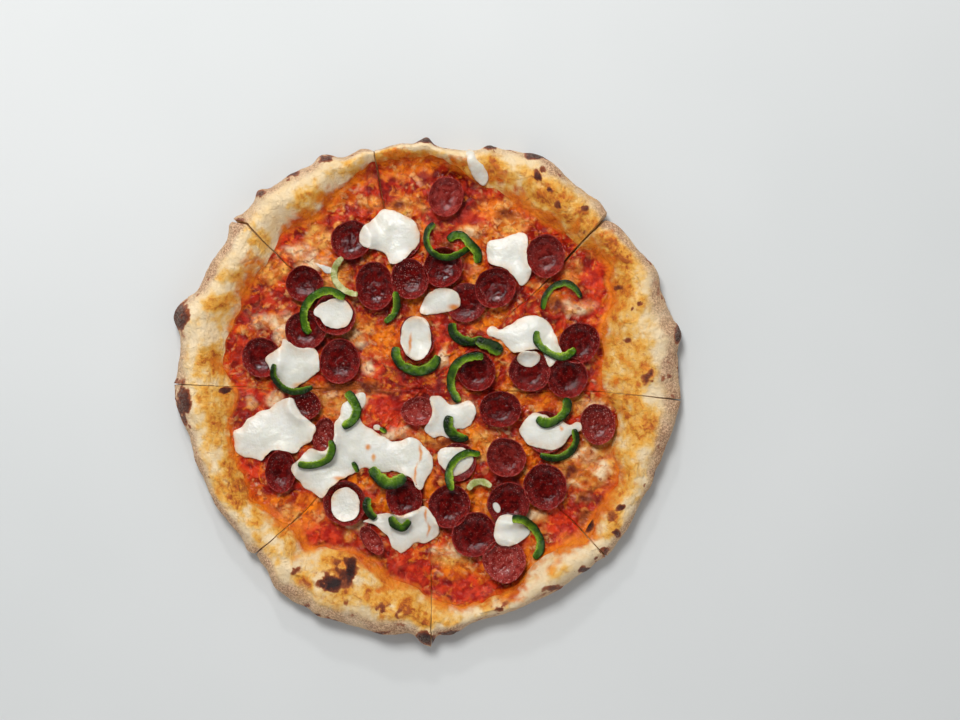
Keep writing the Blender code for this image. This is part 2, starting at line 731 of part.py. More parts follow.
def add_pepperoni(group, heights):
    """One cup, or cups that lie against each other, with any cheese they hold."""
    pieces = []
    for number in group:
        lean = lean_of(number, heights)
        rest = add_object("resting", *pepperoni_mesh(number, lean), "pepperoni")
        rise = heights.resting_height(rest.data) + PEPPERONI[number][6]
        bpy.data.objects.remove(rest)
        pieces.append(add_object("cup", *pepperoni_mesh(number, lean, rise), "pepperoni"))
        if number in CUP_CHEESE:
            x, y, half_width, half_length = CUP_CHEESE[number]
            low = rise + 0.4 * PEPPERONI_THICKNESS
            high = rise + PEPPERONI_DEPTH + 0.5 * PEPPERONI_THICKNESS
            radii = (half_width * PLAN_UNIT, half_length * PLAN_UNIT)
            pieces.append(add_blob(plan_point((x, y)), radii, low, high, "fresh_cheese"))
    piece = pieces[0]
    join(piece, pieces[1:])
    piece.name = "pepperoni_" + "_".join(f"{number:02}" for number in group)
    return piece


def settle(piece, heights):
    """Raises a soft piece where it would still touch what it lies on."""
    rise = heights.resting_height(piece.data)
    if rise > 0:
        piece.data.transform(Matrix.Translation((0, 0, rise)))


# Curves through hand-read points

def spline(points, closed, step):
    """Points about one step apart along a smooth curve through the given points."""
    points = np.array(points)
    count = len(points)
    fine = []
    for index in range(count if closed else count - 1):
        if closed:
            near = [points[(index + k) % count] for k in (-1, 0, 1, 2)]
        else:
            near = [points[min(max(index + k, 0), count - 1)] for k in (-1, 0, 1, 2)]
        for share in np.linspace(0, 1, 8, endpoint=False):
            a = -share + 2 * share**2 - share**3
            b = 2 - 5 * share**2 + 3 * share**3
            c = share + 4 * share**2 - 3 * share**3
            d = -(share**2) + share**3
            fine.append((a * near[0] + b * near[1] + c * near[2] + d * near[3]) / 2)
    fine.append(points[0] if closed else points[-1])
    fine = np.array(fine)
    lengths = np.concatenate([[0], np.cumsum(np.hypot(*np.diff(fine, axis=0).T))])
    parts = max(int(round(lengths[-1] / step)), 3)
    marks = np.linspace(0, lengths[-1], parts, endpoint=False)
    if not closed:
        marks = np.linspace(0, lengths[-1], parts + 1)
    return np.stack([np.interp(marks, lengths, fine[:, axis]) for axis in (0, 1)], axis=1)


# Fresh cheese

def distance_to(outline, point):
    """Distance from a point to a closed outline, and whether the point is inside."""
    start = outline
    end = np.roll(outline, -1, axis=0)
    along = end - start
    share = ((point - start) * along).sum(axis=1) / (along**2).sum(axis=1)
    nearest = start + np.clip(share, 0, 1)[:, None] * along
    crosses = (start[:, 1] > point[1]) != (end[:, 1] > point[1])
    at = start[:, 0] + (point[1] - start[:, 1]) / np.where(crosses, along[:, 1], 1) * along[:, 0]
    inside = (crosses & (at > point[0])).sum() % 2 == 1
    return np.hypot(*(nearest - point).T).min(), inside


def add_cheese(name, heights):
    """A soft dollop that lies over what is under it, with the chilli on it joined in."""
    outline_places, on_it = CHEESE[name]
    outline = spline(plan_points(outline_places), True, CHEESE_STEP)
    low = outline.min(axis=0)
    high = outline.max(axis=0)
    inner = []
    for row, y in enumerate(np.arange(low[1], high[1], CHEESE_STEP * 0.87)):
        for x in np.arange(low[0] + (row % 2) * CHEESE_STEP / 2, high[0], CHEESE_STEP):
            away, inside = distance_to(outline, np.array((x, y)))
            if inside and away > CHEESE_INSET:
                inner.append((x, y))
    plan = [Vector(point) for point in [*outline.tolist(), *inner]]
    ring = list(range(len(outline)))
    found = geometry.delaunay_2d_cdt(plan, [], [ring], 1, 1e-6)
    plan = np.array([tuple(point) for point in found[0]])
    triangles = [tuple(face) for face in found[2]]
    reach = CHEESE_STEP * 1.15
    floor = np.array([heights.cover(point, reach) for point in plan]) + CLEARANCE
    beside = [set() for _ in plan]
    for face in triangles:
        for corner in face:
            beside[corner] |= set(face) - {corner}
    under = floor.copy()
    for _ in range(SMOOTHING_PASSES):
        mean = np.array([under[list(near)].mean() for near in beside])
        under = np.maximum(floor, (under + mean) / 2)
    away = np.array([distance_to(outline, point)[0] for point in plan])
    swell = 1 - np.exp(-away / CHEESE_ROUNDING)
    over = under + CHEESE_EDGE + (CHEESE_THICKNESS - CHEESE_EDGE) * swell
    count = len(plan)
    points = [(*point, z) for point, z in zip(plan, under)]
    points += [(*point, z) for point, z in zip(plan, over)]
    faces = [tuple(reversed(face)) for face in triangles]
    faces += [tuple(corner + count for corner in face) for face in triangles]
    for start, end in zip(ring, ring[1:] + ring[:1]):
        faces.append((start, end, end + count, start + count))
    piece = add_object("fresh_cheese_" + name, points, faces, "fresh_cheese")
    own = Heights()
    own.add(piece.data)
    join(piece, [add_chilli(number, heights, own) for number in on_it])
    settle(piece, heights)
    return piece


# Green chilli

def add_chilli(number, heights, cheese=None):
    """A bent strip of chilli, laid on what is under it and sunk a little into cheese."""
    course, width = CHILLI[number]
    path = spline(plan_points(course), False, CHILLI_STEP)
    half_width = width * PLAN_UNIT / 2
    half_height = CHILLI_HEIGHT / 2
    reach = CHILLI_STEP / 2 + half_width
    middle = np.array([heights.cover(point, reach) for point in path])
    middle += CLEARANCE + half_height
    if cheese is not None:
        held = np.array([cheese.highest(point, CELL) for point in path])
        middle = np.maximum(middle, held + (1 - 2 * CHILLI_SUNK) * half_height)
    lifted = middle.copy()
    for _ in range(CHILLI_PASSES):
        spread = np.pad(lifted, 1, mode="edge")
        lifted = np.maximum(middle, (spread[:-2] + 2 * lifted + spread[2:]) / 4)
    along = np.gradient(path, axis=0)
    along /= np.hypot(*along.T)[:, None]
    points = []
    rings = []
    for index, (place, direction) in enumerate(zip(path, along)):
        at_end = index in (0, len(path) - 1)
        size = 0.72 if at_end else 1.0
        rings.append(list(range(len(points), len(points) + CHILLI_SIDES)))
        for side in range(CHILLI_SIDES):
            angle = 2 * math.pi * (side + 0.5) / CHILLI_SIDES
            across = size * half_width * math.cos(angle)
            up = size * half_height * math.sin(angle)
            x = place[0] - direction[1] * across
            y = place[1] + direction[0] * across
            points.append((x, y, lifted[index] + up))
    faces = [tuple(rings[0]), tuple(reversed(rings[-1]))]
    for before, after in zip(rings[:-1], rings[1:]):
        for side in range(CHILLI_SIDES):
            beside = (side + 1) % CHILLI_SIDES
            faces.append((before[side], after[side], after[beside], before[beside]))
    return add_object("chilli", points, faces, "green_chilli")


def main():
    for obj in list(bpy.data.objects):
        bpy.data.objects.remove(obj)
    heights = Heights()
    for index in range(len(CUTS)):
        columns = [rim_rows(index, share, rim) for share, rim in columns_of(index)]
        heights.add(add_dough_slice(index, columns).data)
        heights.add(add_melted_slice(index, columns).data)
    heights.close_cuts()
    cups = [add_pepperoni(group, heights) for group in PEPPERONI_GROUPS]
    for cup in cups:
        heights.add(cup.data)
    for name in CHEESE:
        heights.add(add_cheese(name, heights).data)
    for numbers in LOOSE_CHILLI:
        rings = [add_chilli(number, heights) for number in numbers]
        join(rings[0], rings[1:])
        settle(rings[0], heights)
        rings[0].name = "chilli_" + "_".join(f"{number:02}" for number in numbers)
        heights.add(rings[0].data)


main()
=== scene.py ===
# Looks of the sliced pizza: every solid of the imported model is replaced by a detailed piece
# that keeps its place and form. Metres, +Z up, in the model's own frame.

import itertools
import math

import bpy
import numpy as np
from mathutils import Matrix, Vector, geometry
from mathutils.bvhtree import BVHTree


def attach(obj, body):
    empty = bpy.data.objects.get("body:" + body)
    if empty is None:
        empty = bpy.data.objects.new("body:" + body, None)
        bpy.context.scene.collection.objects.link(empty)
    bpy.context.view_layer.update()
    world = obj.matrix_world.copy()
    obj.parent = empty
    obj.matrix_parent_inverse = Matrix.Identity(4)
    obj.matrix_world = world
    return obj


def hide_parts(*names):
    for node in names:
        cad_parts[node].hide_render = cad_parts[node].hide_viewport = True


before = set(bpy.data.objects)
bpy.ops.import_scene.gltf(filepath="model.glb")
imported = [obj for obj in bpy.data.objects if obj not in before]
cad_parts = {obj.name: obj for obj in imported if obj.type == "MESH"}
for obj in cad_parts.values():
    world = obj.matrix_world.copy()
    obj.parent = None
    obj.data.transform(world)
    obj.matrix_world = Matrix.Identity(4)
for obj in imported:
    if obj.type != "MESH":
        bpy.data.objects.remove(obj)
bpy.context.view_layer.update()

# Sizes shared with the solids
PIZZA_WIDTH = 0.331
RIM_HEIGHT = 0.0215
BASE_THICKNESS = 0.0045
LAYER_THICKNESS = 0.0020
PEPPERONI_THICKNESS = 0.0017
PEPPERONI_DEPTH = 0.0052
CHEESE_THICKNESS = 0.0034
CHILLI_HEIGHT = 0.0036
CLEARANCE = 0.0004

# Thickness of the cheese in a cup, and how far a layer sinks into what is under it
CUP_CHEESE_THICKNESS = 0.0030
SINK = 0.0003

# Places in plan are read from straight above in plan units, with y running down.
# The pizza is PLAN_WIDTH of them wide, and the picture's middle is at PICTURE_MIDDLE.
PLAN_WIDTH = 509.0
PLAN_UNIT = PIZZA_WIDTH / PLAN_WIDTH
PLAN_MIDDLE = (427.0, 393.0)
CUT_CENTRE = (424.0, 389.0)
PICTURE_WIDTH = 960.0
PICTURE_MIDDLE = (480.0, 360.0)

# Rim section: width of its foot, places of its crest and waist as shares of its width and
# height, how far it tucks in at the ground, and how it slumps beside the cuts.
FOOT_WIDTH = 0.0075
CREST_SHARE = 0.44
WAIST_SHARE = 0.36
TUCK = 0.0065
CUT_SLUMP = 0.09
SLUMP_REACH = 0.012

# The melted layer: its least thickness, and how far from its edge it is full.
MELT_LEAST = 0.0007
MELT_EDGE = 0.0060

# A cup's lip as a share of its half width, and how many rays find it on its solid.
LIP_SHARE = 0.94
LIP_RAYS = 36

# A dollop's dome and its round edge: how far in from the outline they reach.
DOME_REACH = 0.0085
EDGE_REACH = 0.0007

# A chilli strip's blunt end and the stretch along which it narrows.
BLUNT_END = 0.0010
NARROW_END = 0.0045

# Cuts between slices, anticlockwise from the east: their course outward from the
# middle, and how wide they gape at the rim. They start CUT_START wide and open with the
# power CUT_OPENING of the way out. Below a groove that is GROOVE_DEPTH gaps deep, each
# side fills CUT_FILL of the gap.
CUT_START = 0.00010
CUT_OPENING = 4.0
CUT_FILL = 0.49
GROOVE_DEPTH = 1.7
CUTS = (
    (((474, 391), (589, 391), (635, 395), (678, 400)), 0.0014),
    (((503, 320), (539, 289), (575, 250), (605, 218)), 0.0036),
    (((402, 312), (384, 207), (374, 149)), 0.0013),
    (((353, 327), (271, 249), (249, 225), (234, 221.5)), 0.0022),
    (((303, 389.6), (224, 386), (175, 384)), 0.0010),
    (((365, 448), (303, 513), (253, 556)), 0.0016),
    (((427, 450), (431, 575), (431.5, 645)), 0.0011),
    (((500, 452), (563, 512), (606, 556)), 0.0012),
)

# Outer edge of each slice from one cut to the next, with its charred corners.
OUTLINES = (
    (
        (679.5, 399), (679, 385), (677.5, 362), (678.5, 348), (681.5, 335), (677, 324), (669.5, 310),
        (661.5, 290), (657, 272), (644.5, 255), (630, 240), (618, 226), (606, 221),
    ),
    (
        (608, 213), (600, 202), (583, 190), (566, 177), (551, 161), (538, 152.5), (520, 151), (503, 149),
        (490, 144.5), (476, 149), (455, 148.5), (436, 146.5), (427, 139), (414, 143), (400, 142),
        (384, 147.5), (375, 149),
    ),
    (
        (373, 149.5), (362, 148.5), (343, 157), (325, 154), (312, 164), (297, 170.5), (281, 180.5),
        (268, 188.5), (258, 191), (253, 203), (243, 213), (235, 218), (230.5, 222.5),
    ),
    (
        (229.5, 225.5), (226.5, 240), (215, 258), (203, 279), (194, 292), (180, 303), (172.5, 317),
        (179, 336), (180, 355), (178, 376), (175, 383),
    ),
    (
        (175.5, 386), (175.5, 402), (181, 421), (190.5, 440), (196, 460), (205, 481), (213, 500),
        (226, 517), (240, 537), (247, 551), (252, 555.5),
    ),
    (
        (254, 556.5), (265, 569), (275, 586), (290, 599), (303, 607.5), (318, 616), (336, 620), (358, 627),
        (379, 634), (400, 632.5), (412, 634), (421, 643), (430.5, 647),
    ),
    (
        (432.5, 644), (438, 636), (452, 634), (470, 624), (487, 619), (508, 614), (530, 602), (552, 591),
        (573, 577.5), (588, 570), (597, 561.5), (605, 557),
    ),
    (
        (607, 555.5), (613, 549.5), (627, 529), (640, 506), (651, 486), (658, 469), (665, 448),
        (673.5, 427), (678, 410), (679.5, 401),
    ),
)

# Where sauce and melted cheese end on the rim's inner slope, clockwise from the north.
SAUCE_EDGE = (
    (376, 162), (400, 159), (430, 157), (455, 166), (468, 176), (490, 187), (505, 195), (530, 212),
    (555, 228), (575, 243), (595, 252), (608, 264), (610, 280), (613, 303), (602, 325), (604, 350),
    (602, 378), (606, 395), (616, 412), (617, 430), (612, 450), (618, 470), (616, 486), (604, 500),
    (592, 522), (580, 538), (560, 546), (540, 560), (525, 573), (512, 588), (490, 598), (470, 604),
    (450, 602), (433, 598), (405, 584), (388, 577), (372, 561), (350, 551), (325, 548), (306, 546),
    (298, 530), (283, 521), (268, 512), (252, 500), (246, 487), (240, 472), (235, 458), (231, 440),
    (229, 424), (235, 408), (237, 392), (231, 382), (222, 365), (226, 348), (230, 328), (240, 308),
    (246, 290), (256, 274), (272, 256), (285, 230), (305, 222), (321, 214), (332, 198), (346, 186),
    (360, 172),
)

# Puffs and sags of the rim: place, reach in plan units, and height.
PUFFS = (
    (190, 318, 24, 0.0030), (300, 195, 40, 0.0018), (560, 195, 34, 0.0022), (520, 168, 24, 0.0014),
    (640, 300, 30, 0.0018), (662, 342, 24, 0.0014), (650, 450, 28, 0.0010), (560, 572, 34, 0.0014),
    (470, 612, 24, -0.0026), (385, 606, 38, 0.0024), (338, 582, 18, 0.0026), (270, 560, 28, 0.0018),
    (225, 490, 30, 0.0010), (198, 400, 28, 0.0020), (240, 238, 20, 0.0014), (430, 150, 30, -0.0012),
)

# Small blisters and dimples on the rim: place, reach in plan units, and height.
BLISTERS = (
    (331, 580, 8, 0.0011), (350, 572, 8, 0.0008), (538, 176, 9, 0.0009), (548, 193, 5, 0.0004),
    (558, 208, 5, 0.0004), (584, 209, 5, 0.0004), (427, 144, 7, 0.0006), (490, 149, 7, 0.0006),
    (629, 310, 5, 0.0004), (640, 302, 5, 0.0004), (648, 375, 9, 0.0006), (573, 474, 9, 0.0010),
    (605, 549, 9, 0.0007), (620, 520, 9, 0.0007), (586, 522, 7, 0.0008), (585, 501, 6, 0.0006),
    (230, 276, 8, 0.0006), (230, 303, 8, 0.0006), (211, 362, 12, 0.0008), (218, 442, 14, 0.0008),
    (262, 196, 7, 0.0005), (291, 176, 7, 0.0005), (327, 160, 9, 0.0006), (303, 208, 9, 0.0006),
    (297, 567, 7, 0.0006), (345, 604, 8, 0.0006), (385, 605, 9, 0.0006), (400, 610, 8, 0.0006),
    (500, 604, 9, 0.0005), (552, 585, 9, 0.0005), (586, 567, 7, 0.0004), (640, 427, 12, 0.0006),
    (190, 345, 9, -0.0006), (205, 330, 9, -0.0005), (640, 470, 10, -0.0005), (470, 157, 10, 0.0005),
    (618, 287, 7, 0.0005), (595, 251, 6, -0.0006), (226, 389, 6, -0.0006), (280, 545, 12, 0.0006),
)

# Dark baked patches: place, half width and half height in plan units, and how dark.
CHARS = (
    (181, 317, 11, 17, 0.85), (185, 404, 9, 26, 0.75), (327, 158, 11, 5, 0.75), (262, 194, 7, 6, 0.7),
    (291, 175, 7, 5, 0.7), (427, 142, 9, 4, 0.9), (490, 147, 9, 4, 0.9), (537, 156, 12, 5, 0.9),
    (538, 177, 8, 10, 0.8), (548, 193, 5, 4, 0.7), (558, 208, 5, 4, 0.6), (584, 209, 5, 4, 0.6),
    (583, 233, 6, 4, 0.5), (331, 580, 11, 10, 1.0), (340, 574, 21, 15, 0.6), (349, 571, 6, 13, 1.0),
    (297, 567, 7, 6, 0.5), (345, 604, 9, 6, 0.55), (385, 605, 10, 6, 0.55), (400, 611, 9, 6, 0.5),
    (427, 638, 9, 8, 0.95), (380, 632, 8, 3, 0.8), (331, 619, 8, 3, 0.8), (305, 607, 6, 4, 0.7),
    (317, 614, 6, 3, 0.7), (500, 604, 9, 6, 0.55), (450, 632, 11, 3, 0.8), (553, 587, 12, 6, 0.6),
    (586, 567, 8, 4, 0.8), (605, 552, 6, 7, 0.65), (620, 507, 5, 5, 0.7), (616, 531, 5, 5, 0.7),
    (612, 520, 8, 12, 0.45), (585, 501, 8, 5, 0.9), (586, 522, 7, 10, 0.95), (573, 474, 9, 6, 0.65),
    (678, 335, 5, 10, 0.9), (629, 310, 5, 4, 0.6), (640, 302, 5, 4, 0.6), (627, 339, 5, 5, 0.5),
    (618, 287, 5, 4, 0.6), (648, 376, 9, 9, 0.6), (226, 389, 8, 4, 0.8), (235, 484, 16, 12, 0.35),
    (236, 222, 8, 4, 0.6), (206, 285, 8, 10, 0.35), (663, 450, 6, 10, 0.35), (655, 290, 7, 10, 0.35),
    (224, 512, 8, 8, 0.35),
)

# Golden oven colour on the rim: place, half width and half height, and strength.
GOLDEN = (
    (525, 184, 26, 16, 0.80), (577, 222, 24, 18, 0.90), (610, 252, 22, 20, 0.90), (622, 285, 18, 18, 0.75),
    (612, 330, 14, 20, 0.60), (642, 374, 14, 14, 0.60), (548, 196, 20, 14, 0.90), (303, 207, 12, 12, 0.8),
    (318, 196, 10, 8, 0.7), (490, 170, 18, 12, 0.7), (560, 200, 40, 24, 0.75), (230, 276, 12, 10, 0.7),
    (230, 303, 10, 10, 0.8), (211, 362, 14, 16, 0.9), (217, 442, 16, 22, 0.8), (232, 485, 26, 18, 0.95),
    (262, 515, 20, 16, 0.5), (330, 600, 26, 14, 0.6), (375, 590, 30, 14, 0.6), (470, 596, 16, 8, 0.5),
    (560, 565, 24, 12, 0.3), (640, 427, 18, 20, 0.8), (632, 480, 18, 22, 0.6), (612, 520, 14, 20, 0.8),
    (640, 350, 14, 26, 0.55), (628, 300, 18, 24, 0.6), (635, 265, 16, 16, 0.4), (355, 168, 12, 8, 0.5),
    (195, 360, 10, 24, 0.4), (270, 552, 16, 14, 0.4),
)

# How golden the inner half of each slice's rim is.
INNER_GOLD = (0.50, 0.70, 0.15, 0.40, 0.75, 0.65, 0.45, 0.62)

# Pale, soft patches of the rim: place, half width and half height, and strength.
CREAM = (
    (293, 217, 44, 15, 1.0), (478, 156, 44, 8, 1.0), (345, 178, 16, 14, 0.7), (260, 516, 16, 14, 0.9),
    (308, 560, 16, 18, 0.9), (460, 610, 22, 9, 0.9), (555, 566, 34, 20, 0.8), (216, 330, 16, 20, 0.6),
    (212, 395, 14, 18, 0.5), (655, 400, 12, 16, 0.4), (420, 600, 14, 20, 0.4), (262, 250, 14, 14, 0.6),
    (590, 205, 10, 10, 0.4), (655, 320, 14, 20, 0.3),
)

# Orange oil spilled on the rim: place, half width and half height, and strength.
OILY = (
    (598, 252, 18, 14, 0.9), (610, 268, 10, 12, 0.7), (607, 302, 9, 11, 1.0), (618, 330, 8, 16, 0.5),
    (488, 178, 20, 9, 0.8), (512, 196, 18, 8, 0.7), (545, 215, 22, 9, 0.7), (575, 232, 16, 8, 0.7),
    (540, 190, 16, 10, 0.45), (460, 164, 12, 6, 0.9), (398, 157, 14, 6, 0.9), (268, 498, 22, 9, 0.9),
    (255, 486, 14, 8, 0.8), (285, 512, 14, 6, 0.7), (388, 588, 20, 7, 0.7), (345, 562, 16, 6, 0.6),
    (612, 385, 14, 7, 0.7), (622, 395, 12, 4, 0.7), (560, 206, 34, 14, 0.40), (604, 238, 16, 14, 0.65),
    (624, 290, 9, 14, 0.50), (578, 226, 22, 9, 0.45), (526, 184, 20, 10, 0.40), (645, 374, 9, 15, 0.55),
    (624, 362, 7, 18, 0.45), (612, 425, 8, 16, 0.45), (626, 410, 14, 5, 0.50), (606, 508, 10, 14, 0.7),
    (590, 535, 12, 8, 0.5), (256, 262, 14, 9, 0.6), (238, 300, 8, 14, 0.6), (330, 190, 12, 7, 0.5),
    (232, 405, 8, 14, 0.5),
)

# Sauce and melted cheese by kind: place, half width and half height in plan units.
MELT = {
    "deep": (
        (455, 190, 30, 28), (252, 305, 15, 28), (245, 410, 13, 14), (375, 553, 22, 9), (412, 378, 24, 10),
        (428, 402, 18, 12), (470, 303, 14, 18), (330, 300, 24, 12), (262, 262, 12, 9), (500, 482, 26, 8),
        (290, 475, 16, 22), (450, 520, 20, 12),
    ),
    "bright": (
        (322, 534, 24, 14), (410, 573, 26, 15), (462, 588, 32, 14), (594, 272, 14, 20), (382, 408, 20, 16),
        (378, 188, 18, 10), (252, 400, 13, 14), (285, 242, 13, 10), (440, 345, 9, 16), (246, 465, 14, 12),
        (590, 488, 16, 10), (562, 522, 22, 14), (600, 310, 9, 26), (378, 372, 17, 9), (400, 430, 18, 10),
        (470, 216, 16, 8), (600, 350, 10, 18), (590, 388, 16, 5),
    ),
    "orange": (
        (397, 168, 15, 9), (479, 500, 12, 15), (548, 402, 30, 9), (477, 437, 11, 14), (262, 237, 11, 9),
        (475, 266, 9, 24), (485, 323, 16, 7), (325, 254, 8, 6), (414, 298, 10, 14), (506, 345, 9, 14),
        (306, 510, 14, 16), (360, 482, 14, 8), (385, 505, 14, 12), (455, 572, 16, 8), (540, 556, 20, 12),
        (352, 176, 16, 10), (425, 165, 16, 8), (385, 340, 14, 16), (268, 500, 18, 8), (428, 490, 6, 22),
        (447, 470, 6, 20), (528, 460, 8, 22), (395, 270, 8, 10), (500, 208, 22, 9), (560, 300, 14, 8),
        (590, 240, 14, 10),
    ),
    "gold": (
        (327, 403, 20, 14), (455, 557, 20, 12), (613, 470, 18, 14), (405, 207, 18, 10), (610, 400, 11, 7),
        (475, 231, 16, 8), (273, 271, 12, 12), (337, 278, 12, 18), (512, 224, 18, 9), (572, 273, 10, 14),
        (490, 437, 12, 10), (288, 520, 10, 14), (575, 462, 18, 18), (513, 392, 14, 6), (420, 320, 10, 10),
        (350, 330, 20, 8), (596, 450, 14, 16), (545, 572, 18, 9), (370, 205, 12, 8), (320, 238, 14, 9),
        (576, 405, 12, 8), (430, 438, 22, 5), (534, 515, 12, 8), (600, 440, 20, 24), (586, 478, 20, 14),
        (562, 562, 18, 9), (520, 250, 20, 8),
    ),
    "pale": (
        (270, 322, 16, 8), (284, 329, 10, 16), (312, 262, 18, 8), (275, 399, 12, 9), (356, 338, 11, 6),
        (580, 308, 16, 8), (592, 408, 11, 7), (535, 513, 9, 6), (445, 362, 6, 9), (368, 369, 6, 8),
        (249, 402, 5, 5), (398, 432, 12, 5), (470, 232, 10, 5), (330, 396, 8, 4), (602, 470, 10, 8),
        (448, 552, 16, 5), (462, 410, 12, 12), (362, 398, 7, 6), (300, 250, 14, 8), (356, 527, 7, 6),
        (584, 454, 11, 8), (602, 428, 9, 8), (574, 486, 9, 5),
    ),
    # Brown: browned cheese, and long thin strips along the cuts that are painted shade of the cuts.
    "brown_and_cut_shade": (
        (350, 389, 44, 5), (300, 387, 24, 5), (508, 214, 12, 6), (573, 474, 9, 7), (586, 522, 9, 11),
        (585, 501, 8, 5), (450, 441, 22, 5), (300, 300, 9, 5), (312, 402, 9, 7), (372, 449, 5, 5),
        (400, 205, 8, 4), (600, 250, 10, 4), (556, 306, 7, 9), (450, 245, 9, 7),
    ),
}

# Pepperoni: number, place, half width and half length in plan units, turn in degrees,
# and depth of the cup as a share of PEPPERONI_DEPTH.
PEPPERONI = {
    1: (352, 240, 20, 20, 0, 1.0),
    2: (305, 284, 18.5, 18.5, 0, 1.0),
    3: (375, 286, 19.5, 24, 0, 1.1),
    4: (410, 279, 19.5, 19.5, 0, 1.0),
    5: (443, 267, 20, 20, 0, 1.0),
    6: (495, 288, 20.5, 20.5, 0, 1.0),
    7: (545, 256, 19, 22, 20, 1.0),
    8: (306, 330, 20, 20, 0, 0.9),
    9: (335, 315, 20.5, 20.5, 0, 1.0),
    10: (262, 357, 20, 20, 0, 0.9),
    11: (340, 361, 20.5, 22, 0, 1.0),
    12: (446, 197, 18, 20, 0, 0.9),
    13: (466, 303, 20, 20, 0, 0.5),
    15: (417, 338, 16, 23, 12, 1.2),
    16: (476, 371, 20, 20, 0, 1.0),
    17: (529.5, 371, 21.5, 20, 0, 1.0),
    18: (567.5, 377.5, 21, 20, 0, 1.0),
    19: (579, 343, 20.5, 20.5, 0, 1.0),
    20: (500, 409, 21, 19, 0, 1.0),
    21: (597, 424, 17, 21, 0, 1.0),
    22: (506, 457, 20, 20, 0, 1.0),
    23: (545, 486.5, 22.5, 22.5, 0, 1.0),
    24: (508.5, 503, 22, 20.5, 0, 1.0),
    25: (449.5, 505.5, 21, 22, 0, 1.0),
    26: (475, 534.5, 22.5, 22.5, 0, 1.0),
    27: (504, 560, 20.5, 22, -20, 1.0),
    28: (345, 503, 21.5, 23, 0, 1.0),
    29: (404, 497, 18.5, 20, 0, 1.0),
    30: (281, 471, 16, 21, 0, 0.9),
    31: (325, 436, 12, 18, 0, 0.9),
    32: (372, 540, 8.5, 17, 40, 1.0),
    33: (418, 411, 17, 15, 0, 0.9),
    34: (305, 405, 16, 15, 0, 0.9),
}
PEPPERONI_GROUPS = (
    (1,), (2,), (3, 4, 5), (6, 13), (7,), (8, 9), (10,), (11,), (12,), (15,), (16,), (17, 18, 19), (20,),
    (21,), (22,), (23, 24), (25, 26, 27), (28,), (29,), (30,), (31,), (32,), (33,), (34,),
)

# Cups that only peep out from under fresh cheese, in the same terms.
HIDDEN_CUPS = {
    35: (545, 432, 21, 21, 0, 0.30),
    36: (458, 462, 19, 19, 0, 0.25),
    37: (401, 240, 20, 20, 0, 0.35),
}

# How pale and how speckled with fat some cups are.
PALE_CUPS = {27: 0.45, 12: 0.35, 32: 0.55, 33: 0.5, 31: 0.3, 21: 0.2, 7: 0.15, 22: 0.15}
SPECKLED_CUPS = {32: 1.0, 31: 0.7, 33: 0.8, 27: 0.6, 34: 0.6, 21: 0.4, 4: 0.4}

# Section of a cup from the middle of its underside over the lip to the middle of its floor:
# share of its half width, share of its depth, and share of its thickness. The detailed lip
# curls up CUP_LIFT times as high as the plain one.
CUP_SECTION = (
    (0.0, 0.0, 0.0), (0.30, 0.0, 0.0), (0.56, 0.06, 0.0), (0.78, 0.27, 0.0), (0.92, 0.62, 0.0),
    (0.995, 0.97, 0.10), (0.990, 1.03, 0.30), (0.968, 1.03, 0.32), (0.925, 0.88, 0.25), (0.85, 0.56, 0.50),
    (0.74, 0.24, 0.65), (0.58, 0.05, 0.62), (0.30, 0.0, 0.55), (0.0, 0.0, 0.52),
)
CUP_LIFT = 1.12

# Cheese held in a cup: outline.
CUP_CHEESE = {
    9: (
        (320, 305), (330, 300), (342, 300), (350, 305), (353, 312), (350, 322), (344, 328), (333, 328),
        (325, 325), (320, 318), (314, 313),
    ),
    15: (
        (410, 318), (420, 316), (428, 322), (431, 334), (430, 348), (425, 358), (418, 361), (410, 357),
        (404, 350), (401, 338), (403, 326),
    ),
    28: (
        (345, 487), (354, 490), (359, 498), (360, 507), (357, 516), (350, 521), (341, 521), (334, 516),
        (331, 507), (332, 497), (337, 490),
    ),
}

